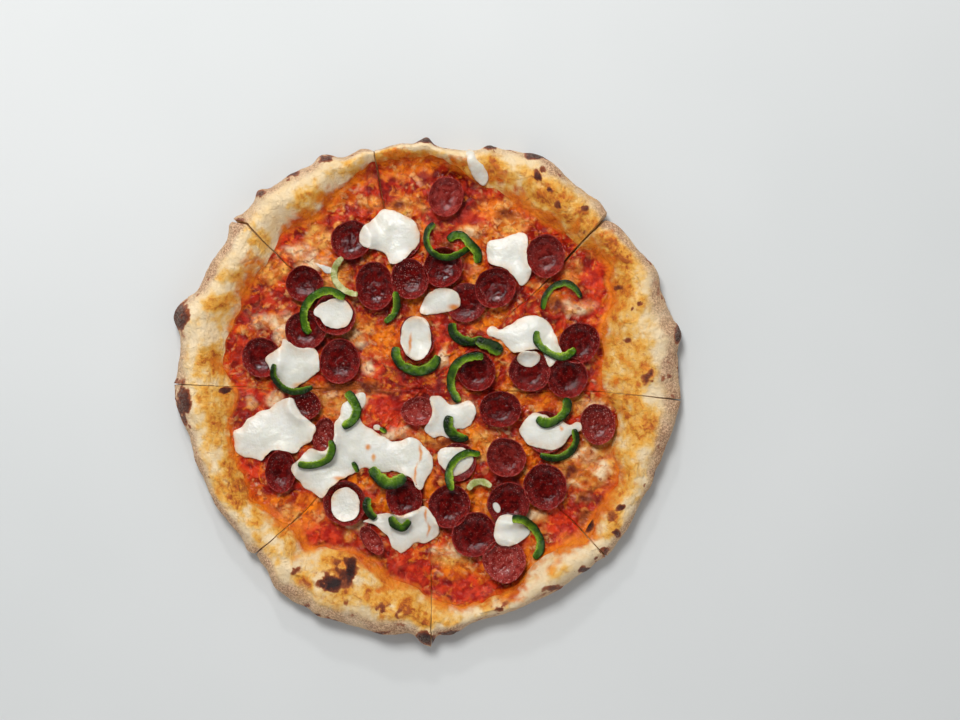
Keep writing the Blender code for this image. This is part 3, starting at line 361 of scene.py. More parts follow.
# Green chilli: course along the middle of the strip, its width in plan units, and how
# much of its dark skin faces up. Below 0 the strip is faded. The flesh swells past the
# width by CHILLI_BULGE.
CHILLI = {
    1: (((343, 258), (336, 266), (334, 276), (339, 286), (348, 292), (358, 295)), 6, -0.8),
    2: (((345, 298), (330, 291), (315, 296), (306, 307), (304, 318), (306, 328), (310, 333)), 8, 0.1),
    3: (((275, 364), (274, 375), (280, 385), (290, 391), (302, 391), (313, 387)), 6, 1.0),
    4: (((396, 292), (397, 305), (393, 315), (385, 322)), 7, 0.2),
    5: (((396, 347), (396, 356), (403, 366), (418, 371), (432, 366), (438, 356)), 9, 0.35),
    6: (
        ((434, 223), (427, 232), (427, 244), (434, 254), (446, 258), (458, 255), (466, 250), (472, 246)),
        6, 0.7,
    ),
    7: (((448, 240), (455, 235), (463, 236), (470, 244), (477, 252), (478, 263)), 8, 0.25),
    8: (((452, 323), (453, 332), (460, 339), (472, 342), (483, 339)), 9, 0.9),
    9: (((476, 341), (489, 345), (502, 352)), 11, 0.9),
    10: (((483, 356), (470, 357), (459, 362), (452, 373), (451, 386), (455, 396), (459, 402)), 8, 0.3),
    11: (((543, 309), (545, 297), (553, 287), (565, 283), (575, 288), (581, 297)), 6, 0.6),
    12: (((537, 331), (537, 341), (545, 350), (556, 356), (566, 356), (575, 349)), 7, 0.1),
    13: (((347, 392), (353, 400), (357, 410), (353, 420), (343, 427)), 9, 0.2),
    14: (((331, 440), (333, 448), (329, 458), (318, 464), (306, 465), (299, 463)), 7, 0.2),
    15: (((450, 416), (448, 426), (454, 435), (464, 438), (467, 436)), 9, 0.7),
    16: (((537, 418), (545, 423), (556, 420), (565, 412), (567, 403), (563, 400)), 9, 0.25),
    17: (((540, 455), (550, 458), (562, 457), (572, 450), (576, 440), (574, 429)), 7, 0.8),
    18: (((480, 454), (468, 453), (457, 458), (450, 468), (449, 478), (452, 490)), 7, 0.2),
    19: (((468, 489), (474, 483), (483, 482), (491, 486)), 6, -0.6),
    20: (((371, 468), (378, 477), (388, 483), (398, 481), (405, 475)), 11, 0.3),
    21: (((369, 497), (367, 505), (371, 514), (376, 518)), 8, 0.7),
    22: (((391, 516), (395, 524), (403, 527), (410, 520)), 8, 0.6),
    23: (((512, 518), (522, 519), (533, 527), (540, 539), (540, 550), (534, 558)), 8, 0.25),
    24: (((380, 428), (386, 432)), 5, 0.1),
    25: (((353, 462), (358, 472)), 5, 0.5),
}
CHILLI_BULGE = 1.08
CHILLI_NODES = {
    2: "chilli_02", 5: "chilli_05", 6: "chilli_06_07", 7: "chilli_06_07", 8: "chilli_08_09",
    9: "chilli_08_09", 10: "chilli_10", 11: "chilli_11", 21: "chilli_21",
    12: "fresh_cheese_east", 13: "fresh_cheese_middle", 14: "fresh_cheese_middle",
    20: "fresh_cheese_middle", 15: "fresh_cheese_middle_east", 18: "fresh_cheese_south_of_middle",
    16: "fresh_cheese_south_east", 17: "fresh_cheese_south_east", 22: "fresh_cheese_south",
    23: "fresh_cheese_south_small",
}

# Fresh cheese: outline of each dollop.
CHEESE = {
    "north": (
        (384, 209), (373, 219), (364, 227), (358, 239), (364, 248), (377, 250), (386, 256), (390, 264),
        (399, 263), (410, 254), (419, 243), (419, 231), (413, 221), (401, 214),
    ),
    "north_east": (
        (487, 246), (491, 240), (510, 236), (523, 233), (528, 240), (527, 262), (531, 273), (522, 286),
        (515, 278), (506, 269), (489, 264),
    ),
    "rim_north": ((466, 153), (471, 150), (478, 163), (486, 169), (488, 182), (481, 185), (471, 173)),
    "west": (
        (283, 338), (280, 347), (266, 357), (269, 368), (281, 385), (290, 389), (306, 380), (317, 373),
        (320, 367), (317, 350), (298, 347), (290, 342),
    ),
    "middle_north": (
        (430, 292), (444, 288), (457, 293), (460, 307), (443, 312), (427, 315), (420, 311), (424, 299),
    ),
    "east": (
        (487, 335), (487, 329), (493, 326), (501, 330), (508, 326), (520, 318), (534, 315), (545, 319),
        (552, 327), (556, 336), (559, 346), (563, 354), (557, 360), (549, 368), (546, 360), (543, 352),
        (537, 349), (529, 350), (520, 352), (513, 353), (508, 347), (502, 341), (494, 338),
    ),
    "south_west": (
        (287, 398), (277, 402), (268, 409), (258, 413), (248, 418), (241, 426), (233, 432), (235, 441),
        (235, 449), (242, 456), (251, 458), (261, 462), (266, 455), (274, 450), (286, 451), (296, 453),
        (302, 446), (311, 441), (314, 434), (317, 427), (309, 420), (301, 414), (296, 406), (293, 399),
    ),
    "middle": (
        (364, 393), (366, 401), (361, 410), (360, 419), (365, 426), (374, 431), (384, 436), (392, 441),
        (401, 440), (411, 438), (418, 441), (424, 447), (431, 454), (433, 464), (430, 474), (425, 482),
        (421, 490), (416, 486), (412, 478), (404, 474), (393, 470), (383, 473), (372, 470), (363, 468),
        (354, 473), (345, 477), (337, 483), (329, 489), (322, 498), (313, 493), (304, 489), (299, 481),
        (292, 473), (291, 466), (298, 460), (304, 452), (313, 448), (322, 451), (330, 446), (334, 436),
        (334, 424), (340, 414), (342, 404), (350, 399), (356, 394),
    ),
    "middle_east": (
        (430, 398), (437, 396), (444, 399), (451, 405), (461, 403), (470, 401), (476, 411), (472, 424),
        (462, 429), (453, 431), (451, 438), (441, 436), (433, 438), (423, 430), (429, 422), (433, 412),
    ),
    "south_of_middle": ((441, 449), (463, 448), (474, 458), (470, 468), (455, 476), (443, 468), (437, 456)),
    "south_east": (
        (522, 424), (527, 418), (533, 413), (544, 414), (554, 420), (563, 421), (570, 425), (577, 421),
        (582, 427), (577, 433), (571, 435), (567, 441), (561, 447), (551, 450), (540, 448), (530, 446),
        (523, 439), (519, 431),
    ),
    "south": (
        (362, 521), (374, 516), (388, 513), (402, 515), (413, 511), (423, 506), (431, 513), (437, 522),
        (439, 532), (432, 540), (424, 545), (416, 543), (409, 548), (402, 554), (395, 550), (391, 545),
        (388, 537), (378, 527), (367, 523),
    ),
    "south_small": (
        (495, 525), (500, 516), (512, 515), (522, 524), (530, 532), (518, 543), (500, 545), (494, 534),
    ),
}

# Small bits of fresh cheese: outline and thickness.
CHEESE_BITS = {
    "north_west": (((313, 262), (320, 264), (330, 267), (333, 272), (326, 274), (320, 268)), 0.0010),
    "on_cup": (
        ((519, 354), (528, 351), (538, 353), (540, 360), (534, 366), (524, 366), (518, 361)), 0.0014,
    ),
    "in_cup": (((493, 502), (498, 503), (500, 508), (499, 513), (495, 511), (492, 506)), 0.0008),
    "crumb_west": (((357, 395), (363, 396), (364, 399), (358, 400)), 0.0010),
    "crumb_middle": (((373, 425), (379, 425), (380, 430), (374, 430)), 0.0008),
}

# Oily orange stains on the cheese: place, half width and half height.
STAINS = (
    (419, 452, 1.2, 8), (417, 472, 1.2, 9), (367, 448, 3, 2.5), (374, 457, 2, 3), (560, 428, 2, 2.5),
    (427, 514, 1.2, 7), (429, 530, 1.2, 6), (384, 432, 4, 2), (568, 445, 5, 3), (455, 308, 6, 3),
    (304, 385, 9, 2), (340, 478, 8, 2), (410, 343, 1.5, 9),
)

# Mesh fineness, and the square grid of heights that the upper pieces lie on
SHARP_ANGLE = math.radians(70)
COLUMNS = 190
CROWDING = 0.55
BASE_START = 0.05
BASE_ROWS = 12
SLOPE_ROWS = 30
ROUND_ROWS = 20
UNDER_ROWS = 7
SIDE_LEVELS = 7
MELT_COLUMNS = 140
MELT_ROWS = 150
MELT_START = 0.015
LOW_ROWS = 14
LOW_EDGE_ROWS = 13
CURVE_PARTS = 12
CURVE_STEP = 0.0008
CUP_SIDES = 72
CUP_RINGS = 30
CHEESE_STEP = 0.0008
CHEESE_ROW_STEP = 0.87 * CHEESE_STEP
CHEESE_INSETS = (0.00022, 0.0006)
CHEESE_MARGIN = 0.0011
DRAPE_PASSES = 40
BIT_DRAPE_PASSES = 3
RELAX_PASSES = 9
CHILLI_STEP = 0.0007
CHILLI_SIDES = 16
CELL = 0.0008
GRID_HALF = PIZZA_WIDTH / 2 + 12 * CELL

# Stage
FLOOR_SIZE = 8.0
CAMERA_LENS = 70.0
CAMERA_SENSOR = 36.0
FOCUS_HEIGHT = 0.010

# Lamps, all aimed at the pizza: place, width and power.
LAMPS = {
    "key": ((-0.25, 0.78, 1.36), 0.46, 20.5),
    "sparkle": ((-0.20, 1.30, 0.85), 0.10, 4.2),
    "fill_left": ((-1.2, -0.1, 0.7), 1.2, 1.6),
    "fill_right": ((1.2, -0.1, 0.7), 1.2, 1.6),
    "fill_front": ((0.0, -1.2, 0.7), 1.2, 3.0),
}


# Plan, noise and curves

def plan(places):
    """Places in plan units as metres from the pizza's middle."""
    places = np.array(places, float)
    x = (places[..., 0] - PLAN_MIDDLE[0]) * PLAN_UNIT
    y = (PLAN_MIDDLE[1] - places[..., 1]) * PLAN_UNIT
    return np.stack([x, y], axis=-1)


CENTRE = plan(CUT_CENTRE)


def polar(points):
    """Radius and angle of points about the place where the cuts meet."""
    offset = points - CENTRE
    return np.hypot(offset[..., 0], offset[..., 1]), np.arctan2(offset[..., 1], offset[..., 0])


def directions(angle):
    """Unit vectors in plan at some angles."""
    return np.stack([np.cos(angle), np.sin(angle)], axis=-1)


def turned(offset, degrees):
    """Offsets in plan, turned anticlockwise."""
    angle = math.radians(degrees)
    x = offset[..., 0] * math.cos(angle) - offset[..., 1] * math.sin(angle)
    y = offset[..., 0] * math.sin(angle) + offset[..., 1] * math.cos(angle)
    return np.stack([x, y], axis=-1)


def normals(outline):
    """Unit vectors square to a closed outline, on the right of its course."""
    along = np.roll(outline, -1, axis=0) - np.roll(outline, 1, axis=0)
    normal = np.stack([along[:, 1], -along[:, 0]], axis=1)
    return normal / np.linalg.norm(normal, axis=1)[:, None]


def smooth_step(share):
    """A share from 0 to 1 that starts and ends gently."""
    share = np.clip(share, 0.0, 1.0)
    return share * share * (3 - 2 * share)


# A turn that hides the lattice of the noise
TWIST = np.array(((0.80, 0.60, 0.0), (-0.48, 0.64, 0.60), (0.36, -0.48, 0.80)))


def hashed(cells, seed):
    """A repeatable random number from -1 to 1 for each cell of a lattice."""
    mixed = cells @ np.array([73856093, 19349663, 83492791]) + seed * 7919
    mixed = (mixed ^ (mixed >> 13)) * 1274126177
    mixed = mixed ^ (mixed >> 16)
    return (mixed & 0xFFFFF) / 524287.5 - 1


def noise(points, size, seed=0):
    """Smooth noise from -1 to 1 with features of one size."""
    flat = points.reshape(-1, points.shape[-1])
    if flat.shape[1] == 2:
        flat = np.column_stack([flat, np.zeros(len(flat))])
    scaled = flat @ TWIST / size + 31.7 * seed
    cell = np.floor(scaled).astype(np.int64)
    part = smooth_step(scaled - cell)
    total = np.zeros(len(flat))
    for corner in itertools.product((0, 1), repeat=3):
        weight = np.prod(np.where(corner, part, 1 - part), axis=1)
        total += weight * hashed(cell + np.array(corner), seed)
    return total.reshape(points.shape[:-1])


def rough(points, size, octaves=3, seed=0):
    """Noise with finer and weaker noise added to it."""
    return sum(noise(points, size / 2**k, seed + 7 * k) / 2**k for k in range(octaves))


def patches(points, table, blur=0.5, warp=0.0022):
    """How far points lie inside the oval patches of a table, with uneven edges."""
    shift = np.stack([rough(points, 0.008, 3, 3), rough(points, 0.008, 3, 4)], axis=-1)
    shifted = points + warp * shift
    found = np.zeros(points.shape[:-1])
    for x, y, half_x, half_y, *strength in table:
        offset = (shifted - plan((x, y))) / (PLAN_UNIT * np.array((half_x, half_y)))
        away = np.hypot(offset[..., 0], offset[..., 1])
        inside = smooth_step((1 + blur - away) / (2 * blur))
        found = np.maximum(found, inside * (strength[0] if strength else 1.0))
    return found


def bumps(points, table):
    """Height of the round bumps of a table over points in plan."""
    height = np.zeros(points.shape[:-1])
    for x, y, reach, high in table:
        offset = points - plan((x, y))
        away = np.hypot(offset[..., 0], offset[..., 1]) / (reach * PLAN_UNIT)
        height += high * np.exp(-(away**2))
    return height


def spline(points, closed, step):
    """Points about one step apart along a smooth curve through the given points."""
    points = np.array(points, float)
    count = len(points)
    fine = []
    for index in range(count if closed else count - 1):
        places = index + np.arange(-1, 3)
        near = points[places % count if closed else np.clip(places, 0, count - 1)]
        for share in np.linspace(0, 1, CURVE_PARTS, endpoint=False):
            a = -share + 2 * share**2 - share**3
            b = 2 - 5 * share**2 + 3 * share**3
            c = share + 4 * share**2 - 3 * share**3
            d = -(share**2) + share**3
            fine.append((a * near[0] + b * near[1] + c * near[2] + d * near[3]) / 2)
    fine.append(points[0] if closed else points[-1])
    fine = np.array(fine)
    steps = np.sqrt((np.diff(fine, axis=0) ** 2).sum(axis=1))
    lengths = np.concatenate([[0], np.cumsum(steps)])
    parts = max(int(round(lengths[-1] / step)), 3)
    marks = np.linspace(0, lengths[-1], parts + (not closed), endpoint=not closed)
    return np.stack([np.interp(marks, lengths, column) for column in fine.T], axis=1)


# Materials

class Look:
    """A Principled material whose inputs are built up from masks and fine noise."""

    def __init__(self, name, roughness=0.5):
        self.material = bpy.data.materials.new(name)
        self.material.use_nodes = True
        self.tree = self.material.node_tree
        self.shader = self.tree.nodes["Principled BSDF"]
        self.shader.inputs["Roughness"].default_value = roughness
        self.place = self.made("ShaderNodeTexCoord", "Object", {})

    def put(self, socket, value):
        """Link or set one input."""
        if isinstance(value, bpy.types.NodeSocket):
            self.tree.links.new(value, socket)
        elif isinstance(value, tuple):
            socket.default_value = (*value, 1.0)[:4]
        else:
            socket.default_value = value

    def made(self, kind, output, inputs, **settings):
        """An output of a new node with these inputs and settings."""
        node = self.tree.nodes.new(kind)
        for name, value in settings.items():
            setattr(node, name, value)
        for name, value in inputs.items():
            self.put(node.inputs[name], value)
        return node.outputs[output]

    def set(self, **inputs):
        """Link or set the shader's inputs."""
        for name, value in inputs.items():
            self.put(self.shader.inputs[name.replace("_", " ")], value)

    def mask(self, name):
        """A mask of the mesh."""
        return self.made("ShaderNodeAttribute", "Fac", {}, attribute_name=name)

    def between(self, value, low, high):
        """A value spread from 0 at low to 1 at high."""
        inputs = {"Value": value, "From Min": low, "From Max": high}
        return self.made("ShaderNodeMapRange", "Result", inputs, interpolation_type="SMOOTHSTEP")

    def noise(self, size, low=0.35, high=0.65, detail=4.0, strength=0.55, swirl=0.0):
        """Clouds with features of one size in metres."""
        inputs = {"Vector": self.place, "Scale": 1 / size, "Detail": detail, "Roughness": strength}
        inputs["Distortion"] = swirl
        return self.between(self.made("ShaderNodeTexNoise", "Fac", inputs), low, high)

    def pits(self, size, low, high):
        """Round spots of one size, 1 in their middles."""
        inputs = {"Vector": self.place, "Scale": 1 / size}
        return self.between(self.made("ShaderNodeTexVoronoi", "Distance", inputs), high, low)

    def sum(self, a, b, kind="ADD"):
        """Two values added, from 0 to 1."""
        return self.made("ShaderNodeMath", 0, {0: a, 1: b}, operation=kind, use_clamp=True)

    def times(self, a, b):
        """Two values multiplied, from 0 to 1."""
        return self.sum(a, b, "MULTIPLY")

    def mix(self, share, a, b):
        """A colour between a and b."""
        return self.made("ShaderNodeMix", 2, {0: share, 6: a, 7: b}, data_type="RGBA")

    def blend(self, share, a, b):
        """A number between a and b."""
        return self.made("ShaderNodeMix", 0, {0: share, 2: a, 3: b}, data_type="FLOAT")

    def layered(self, colour, *layers):
        """A colour with others laid over it: pairs of a share and a colour."""
        for share, over in layers:
            colour = self.mix(share, colour, over)
        return colour

    def ramp(self, value, *stops):
        """A colour that runs through the stops, each a place from 0 to 1 and a colour."""
        node = self.tree.nodes.new("ShaderNodeValToRGB")
        self.put(node.inputs["Fac"], value)
        elements = node.color_ramp.elements
        while len(elements) < len(stops):
            elements.new(0.5)
        for element, (place, colour) in zip(elements, stops):
            element.position = place
            element.color = (*colour, 1)
        return node.outputs["Color"]

    def oily_slope(self):
        """Colour of the rim's inner slope, which the dough and the sauce share."""
        drift = self.noise(0.008, 0.25, 0.75, 6.0, 0.6)
        return drift, self.mix(drift, (0.52, 0.050, 0.004), (0.86, 0.25, 0.014))

    def bump(self, *layers):
        """Fine relief: pairs of a height and its depth in metres."""
        lower = {}
        for height, depth in layers:
            normal = self.made("ShaderNodeBump", "Normal", {"Height": height, "Distance": depth, **lower})
            lower = {"Normal": normal}
        self.set(**lower)


def crust_look():
    """Baked dough: cream to gold, with oil, flour, char and an open crumb on the cuts whose pores are
    painted shade.
    """
    look = Look("baked_crust_finish")
    gold, flour, scorch = look.mask("gold"), look.mask("flour"), look.mask("char")
    grain = look.noise(0.0008, 0.3, 0.7)
    drift, oily = look.oily_slope()
    mottle = look.noise(0.0042, 0.34, 0.66, 4.0, 0.6, 0.6)
    warmth = look.sum(look.times(drift, 0.30), look.times(look.times(mottle, gold), 0.30))
    colour = look.ramp(
        look.sum(look.times(gold, 0.62), warmth),
        (0.0, (0.90, 0.72, 0.48)), (0.28, (0.88, 0.64, 0.34)), (0.50, (0.86, 0.50, 0.13)),
        (0.72, (0.80, 0.36, 0.040)), (0.92, (0.58, 0.16, 0.014)), (1.0, (0.38, 0.08, 0.010)),
    )
    freckle = look.times(look.noise(0.0034, 0.53, 0.65, 4.0, 0.6, 0.4), gold)
    singed = look.times(look.noise(0.0065, 0.56, 0.70, 4.0, 0.6, 0.5), gold)
    oil = look.between(look.sum(look.mask("oil"), look.times(drift, 0.4)), 0.40, 1.0)
    speckle = look.noise(0.0012, 0.42, 0.58, 5.0, 0.75)
    floury = look.mix(speckle, (0.27, 0.105, 0.050), (0.72, 0.45, 0.28))
    uneven = look.noise(0.0024, 0.25, 0.75, 5.0, 0.65)
    char = look.sum(look.times(scorch, 0.80), look.times(look.times(uneven, 0.45), scorch))
    scorched = look.ramp(
        char,
        (0.0, (0.56, 0.20, 0.04)), (0.35, (0.34, 0.075, 0.016)), (0.65, (0.10, 0.018, 0.007)),
        (1.0, (0.020, 0.007, 0.006)),
    )
    ash = look.times(look.times(speckle, flour), 0.30)
    scorched = look.mix(ash, scorched, (0.62, 0.48, 0.38))
    colour = look.layered(
        colour,
        (look.times(freckle, 0.70), (0.50, 0.090, 0.008)),
        (look.times(singed, 0.40), (0.60, 0.19, 0.016)),
        (oil, oily),
        (look.times(flour, 0.85), floury),
        (look.between(char, 0.10, 0.42), scorched),
        # Crumb on the cut sides, with darker round pits that are painted shade in its pores.
        (look.mask("cut"), look.mix(look.pits(0.0021, 0.05, 0.42), (0.62, 0.33, 0.12), (0.34, 0.12, 0.03))),
    )
    look.set(
        Base_Color=colour,
        Roughness=look.blend(look.mask("oil"), look.blend(flour, 0.42, 0.9), 0.22),
        Specular_IOR_Level=0.3,
    )
    look.bump((grain, 0.00012), (drift, 0.0006), (mottle, 0.00050), (speckle, 0.00014))
    return look.material


def melt_look():
    """Pulpy red sauce with orange oil, melted curds, and paler and browned cheese, with painted shade along
    the cuts.
    """
    look = Look("sauce_and_cheese_finish")
    pulp = look.noise(0.0056, 0.36, 0.64, 3.0, 0.48, 0.5)
    drops = look.noise(0.0026, 0.36, 0.64, 3.0, 0.5, 0.6)
    grain = look.noise(0.0011, 0.3, 0.7, 3.0)
    stringy = look.noise(0.0064, 0.34, 0.66, 3.0, 0.45, 0.4)
    free = look.sum(1.0, look.sum(look.mask("deep"), look.mask("bright")), "SUBTRACT")
    oily = look.times(look.noise(0.0075, 0.54, 0.64, 3.0, 0.5, 0.8), 0.55)
    curds = look.times(look.noise(0.0052, 0.54, 0.68, 3.0, 0.45, 0.4), look.sum(free, 0.10))
    flakes = look.times(look.noise(0.0040, 0.58, 0.68, 2.5, 0.45, 0.4), 0.6)
    colour = look.layered(
        look.mix(pulp, (0.21, 0.004, 0.0012), (0.52, 0.028, 0.004)),
        (look.mask("bright"), look.mix(pulp, (0.36, 0.008, 0.002), (0.66, 0.045, 0.008))),
        (look.mask("deep"), look.mix(pulp, (0.11, 0.002, 0.0008), (0.36, 0.012, 0.003))),
        (look.mask("orange"), look.mix(pulp, (0.50, 0.050, 0.001), (0.82, 0.20, 0.005))),
        (look.mask("gold"), look.mix(stringy, (0.50, 0.10, 0.005), (0.80, 0.40, 0.08))),
        (look.mask("pale"), look.mix(stringy, (0.58, 0.23, 0.07), (0.80, 0.60, 0.37))),
        (oily, look.mix(drops, (0.64, 0.095, 0.004), (0.88, 0.28, 0.02))),
        (look.times(curds, 0.55), look.mix(drops, (0.64, 0.18, 0.03), (0.82, 0.46, 0.16))),
        (flakes, (0.22, 0.010, 0.003)),
        # Brown: browned cheese, and painted shade along the cuts and on the layer's cut sides.
        (look.mask("brown_and_cut_shade"), look.mix(stringy, (0.12, 0.014, 0.004), (0.38, 0.08, 0.010))),
        (look.mask("slope"), look.oily_slope()[1]),
    )
    look.set(Base_Color=colour, Roughness=look.blend(grain, 0.06, 0.15), Specular_IOR_Level=0.18)
    look.bump((pulp, 0.00050), (curds, 0.00035), (drops, 0.00026), (grain, 0.00013))
    return look.material


def pepperoni_look():
    """Dark red cured meat that glistens, with fat specks; paler up the walls to the lip and dark on the
    floor, partly painted shade of the hollow, with the south walls lighter as painted light.
    """
    look = Look("pepperoni_finish")
    meat = look.noise(0.0032, 0.34, 0.66, 4.0, 0.55)
    fat = look.times(look.noise(0.0011, 0.59, 0.66, 3.0, 0.6), look.mask("fat"))
    # Painted shade and light: the dark floor colour partly stands for shade in the hollow, and the paler
    # wall colour, strongest on the south walls, partly for light from the north.
    colour = look.layered(
        look.mix(meat, (0.036, 0.0008, 0.0008), (0.12, 0.0032, 0.0025)),
        (look.mask("wall"), look.mix(meat, (0.12, 0.0040, 0.0030), (0.26, 0.012, 0.009))),
        (look.mask("lip"), look.mix(meat, (0.20, 0.010, 0.008), (0.42, 0.042, 0.032))),
        (look.mask("pallor"), look.mix(meat, (0.26, 0.014, 0.010), (0.50, 0.080, 0.060))),
        (fat, (0.54, 0.24, 0.20)),
    )
    grain = look.noise(0.0015, 0.3, 0.7, 3.0)
    beads = look.noise(0.0008, 0.35, 0.65, 2.0)
    look.set(Base_Color=colour, Roughness=look.blend(grain, 0.05, 0.11), Specular_IOR_Level=0.2)
    wet = look.mask("wall")
    look.bump((meat, 0.00016), (look.times(grain, wet), 0.00028), (look.times(beads, wet), 0.00015))
    return look.material


def cheese_look():
    """Soft white cheese, warmer where it thins out, with orange stains of oil."""
    look = Look("fresh_cheese_finish", 0.32)
    cloudy = look.noise(0.011, 0.3, 0.7)
    colour = look.layered(
        look.mix(cloudy, (0.61, 0.60, 0.525), (0.70, 0.69, 0.635)),
        (look.mask("edge"), look.mix(look.noise(0.004), (0.68, 0.36, 0.17), (0.74, 0.62, 0.48))),
        (look.mask("stain"), look.mix(cloudy, (0.56, 0.16, 0.02), (0.66, 0.34, 0.12))),
    )
    look.set(
        Base_Color=colour,
        Subsurface_Weight=0.4,
        Subsurface_Scale=0.002,
        Specular_IOR_Level=0.4,
    )
    look.shader.inputs["Subsurface Radius"].default_value = (1.0, 0.75, 0.5)
    look.bump((look.noise(0.0050, 0.2, 0.8, 3.0), 0.00030), (look.noise(0.0014, 0.3, 0.7, 3.0), 0.00007))
    return look.material


def chilli_look():
    """Green chilli: nearly black skin, wet green flesh and a yellow-green inner side."""
    look = Look("green_chilli_finish")
    grain = look.noise(0.0010, 0.3, 0.7)
    shade = look.noise(0.004)
    colour = look.layered(
        look.mix(shade, (0.020, 0.066, 0.0001), (0.060, 0.145, 0.0002)),
        (look.mask("skin"), look.mix(shade, (0.002, 0.008, 0.0002), (0.008, 0.028, 0.0003))),
        (look.mask("pith"), look.mix(grain, (0.16, 0.30, 0.004), (0.46, 0.56, 0.06))),
        (look.mask("faded"), look.mix(shade, (0.30, 0.31, 0.09), (0.60, 0.55, 0.32))),
    )
    look.set(Base_Color=colour, Roughness=look.blend(look.mask("skin"), 0.12, 0.07), Specular_IOR_Level=0.2)
    look.bump((grain, 0.00020))
    return look.material


# Pieces

class Shell:
    """Points and faces of a mesh, gathered grid by grid."""

    def __init__(self):
        self.points = []
        self.faces = []
        self.count = 0

    def add(self, points):
        """Numbers of new points, in the shape of their grid."""
        grid = np.asarray(points, float)
        size = grid.size // 3
        self.points.append(grid.reshape(-1, 3))
        self.count += size
        return self.count - size + np.arange(size).reshape(grid.shape[:-1])

    def cap(self, centre, ring):
        """Triangles from one point to a row of points."""
        self.faces += [(centre, a, b) for a, b in zip(ring, ring[1:])]

    def padded(self, values, rest=0.0):
        """Values of a mask for the first points, and one value for all the others."""
        return np.append(np.ravel(values), np.full(self.count - np.size(values), rest))


def add_piece(name, shell, look, nodes, masks):
    """A detailed piece that rides on the pizza and stands for the named solids."""
    mesh = bpy.data.meshes.new(name)
    mesh.from_pydata(np.vstack(shell.points).tolist(), [], shell.faces)
    mesh.shade_smooth()
    mesh.set_sharp_from_angle(angle=SHARP_ANGLE)
    for mask, values in masks.items():
        layer = mesh.attributes.new(mask, "FLOAT", "POINT")
        layer.data.foreach_set("value", np.asarray(values, np.float32).ravel())
    mesh.materials.append(look)
    obj = bpy.data.objects.new(name, mesh)
    bpy.context.scene.collection.objects.link(obj)
    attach(obj, "root")
    if nodes:
        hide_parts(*nodes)


def grid_quads(numbers):
    """Quads between the rows and columns of a grid of vertex numbers."""
    a, b = numbers[:-1, :-1], numbers[1:, :-1]
    c, d = numbers[1:, 1:], numbers[:-1, 1:]
    return np.stack([a, b, c, d], axis=-1).reshape(-1, 4).tolist()


# Course of the cuts

def cut_course(index):
    """Radii and unwrapped angles along a cut; index 8 is the first cut one turn on."""
    turns, which = divmod(index, len(CUTS))
    radii, angles = polar(plan(CUTS[which][0]))
    start = angles[0] % (2 * math.pi) if which else angles[0]
    return radii, start + np.unwrap(angles - angles[0]) + 2 * math.pi * turns


COURSES = [cut_course(index) for index in range(len(CUTS) + 1)]


def cut_noise(index, radius, size, seed):
    """Noise along a cut."""
    place = np.stack([radius, np.full_like(radius, 0.1 * (index % len(CUTS)))], axis=-1)
    return noise(place, size, seed)


def cut_gap(index, radius):
    """How far a cut gapes at a radius."""
    opening = CUTS[index % len(CUTS)][1] - CUT_START
    gap = CUT_START * (0.70 + 0.30 * cut_noise(index, radius, 0.004, 401))
    return gap + opening * np.minimum(radius / COURSES[index][0][-1], 1) ** CUT_OPENING


def cut_side(index, radius, side):
    """Angle of one side of a cut at a radius: side 1 is anticlockwise, -1 clockwise."""
    wander = 0.0003 * cut_noise(index, radius, 0.007, 402) * np.minimum(radius / 0.01, 1)
    off = side * cut_gap(index, radius) / 2 + wander
    turn = np.arcsin(np.clip(off / np.maximum(radius, 1e-5), -1, 1))
    return np.interp(radius, *COURSES[index]) + turn


def fan(index, share, radius):
    """Points and angles of a slice: share runs from 0 at one cut to 1 at the next."""
    first = cut_side(index, radius, 1)
    last = cut_side(index + 1, radius, -1)
    angle = first + share * (last - first)
    return CENTRE + radius[..., None] * directions(angle), angle


def slice_tip(index):
    """The point of a slice, set back so that the cuts keep their width."""
    first = np.interp(0, *COURSES[index])
    last = np.interp(0, *COURSES[index + 1])
    middle = (first + last) / 2
    back = CUT_START / 2 / math.sin((last - first) / 2)
    return CENTRE + back * np.array([math.cos(middle), math.sin(middle)])


EDGE_RADII, EDGE_ANGLES = polar(spline(plan(SAUCE_EDGE), True, 0.002))
EDGE_ORDER = np.argsort(EDGE_ANGLES % (2 * math.pi))


def sauce_radius(angle):
    """Radius of the sauce's edge at some angles."""
    return np.interp(
        angle % (2 * math.pi),
        EDGE_ANGLES[EDGE_ORDER] % (2 * math.pi),
        EDGE_RADII[EDGE_ORDER],
        period=2 * math.pi,
    )


# Dough

def base_height(points):
    """Top of the flat dough under the sauce."""
    return BASE_THICKNESS + 0.0004 * np.sin(points[..., 0] * 90) * np.cos(points[..., 1] * 70 + 1)


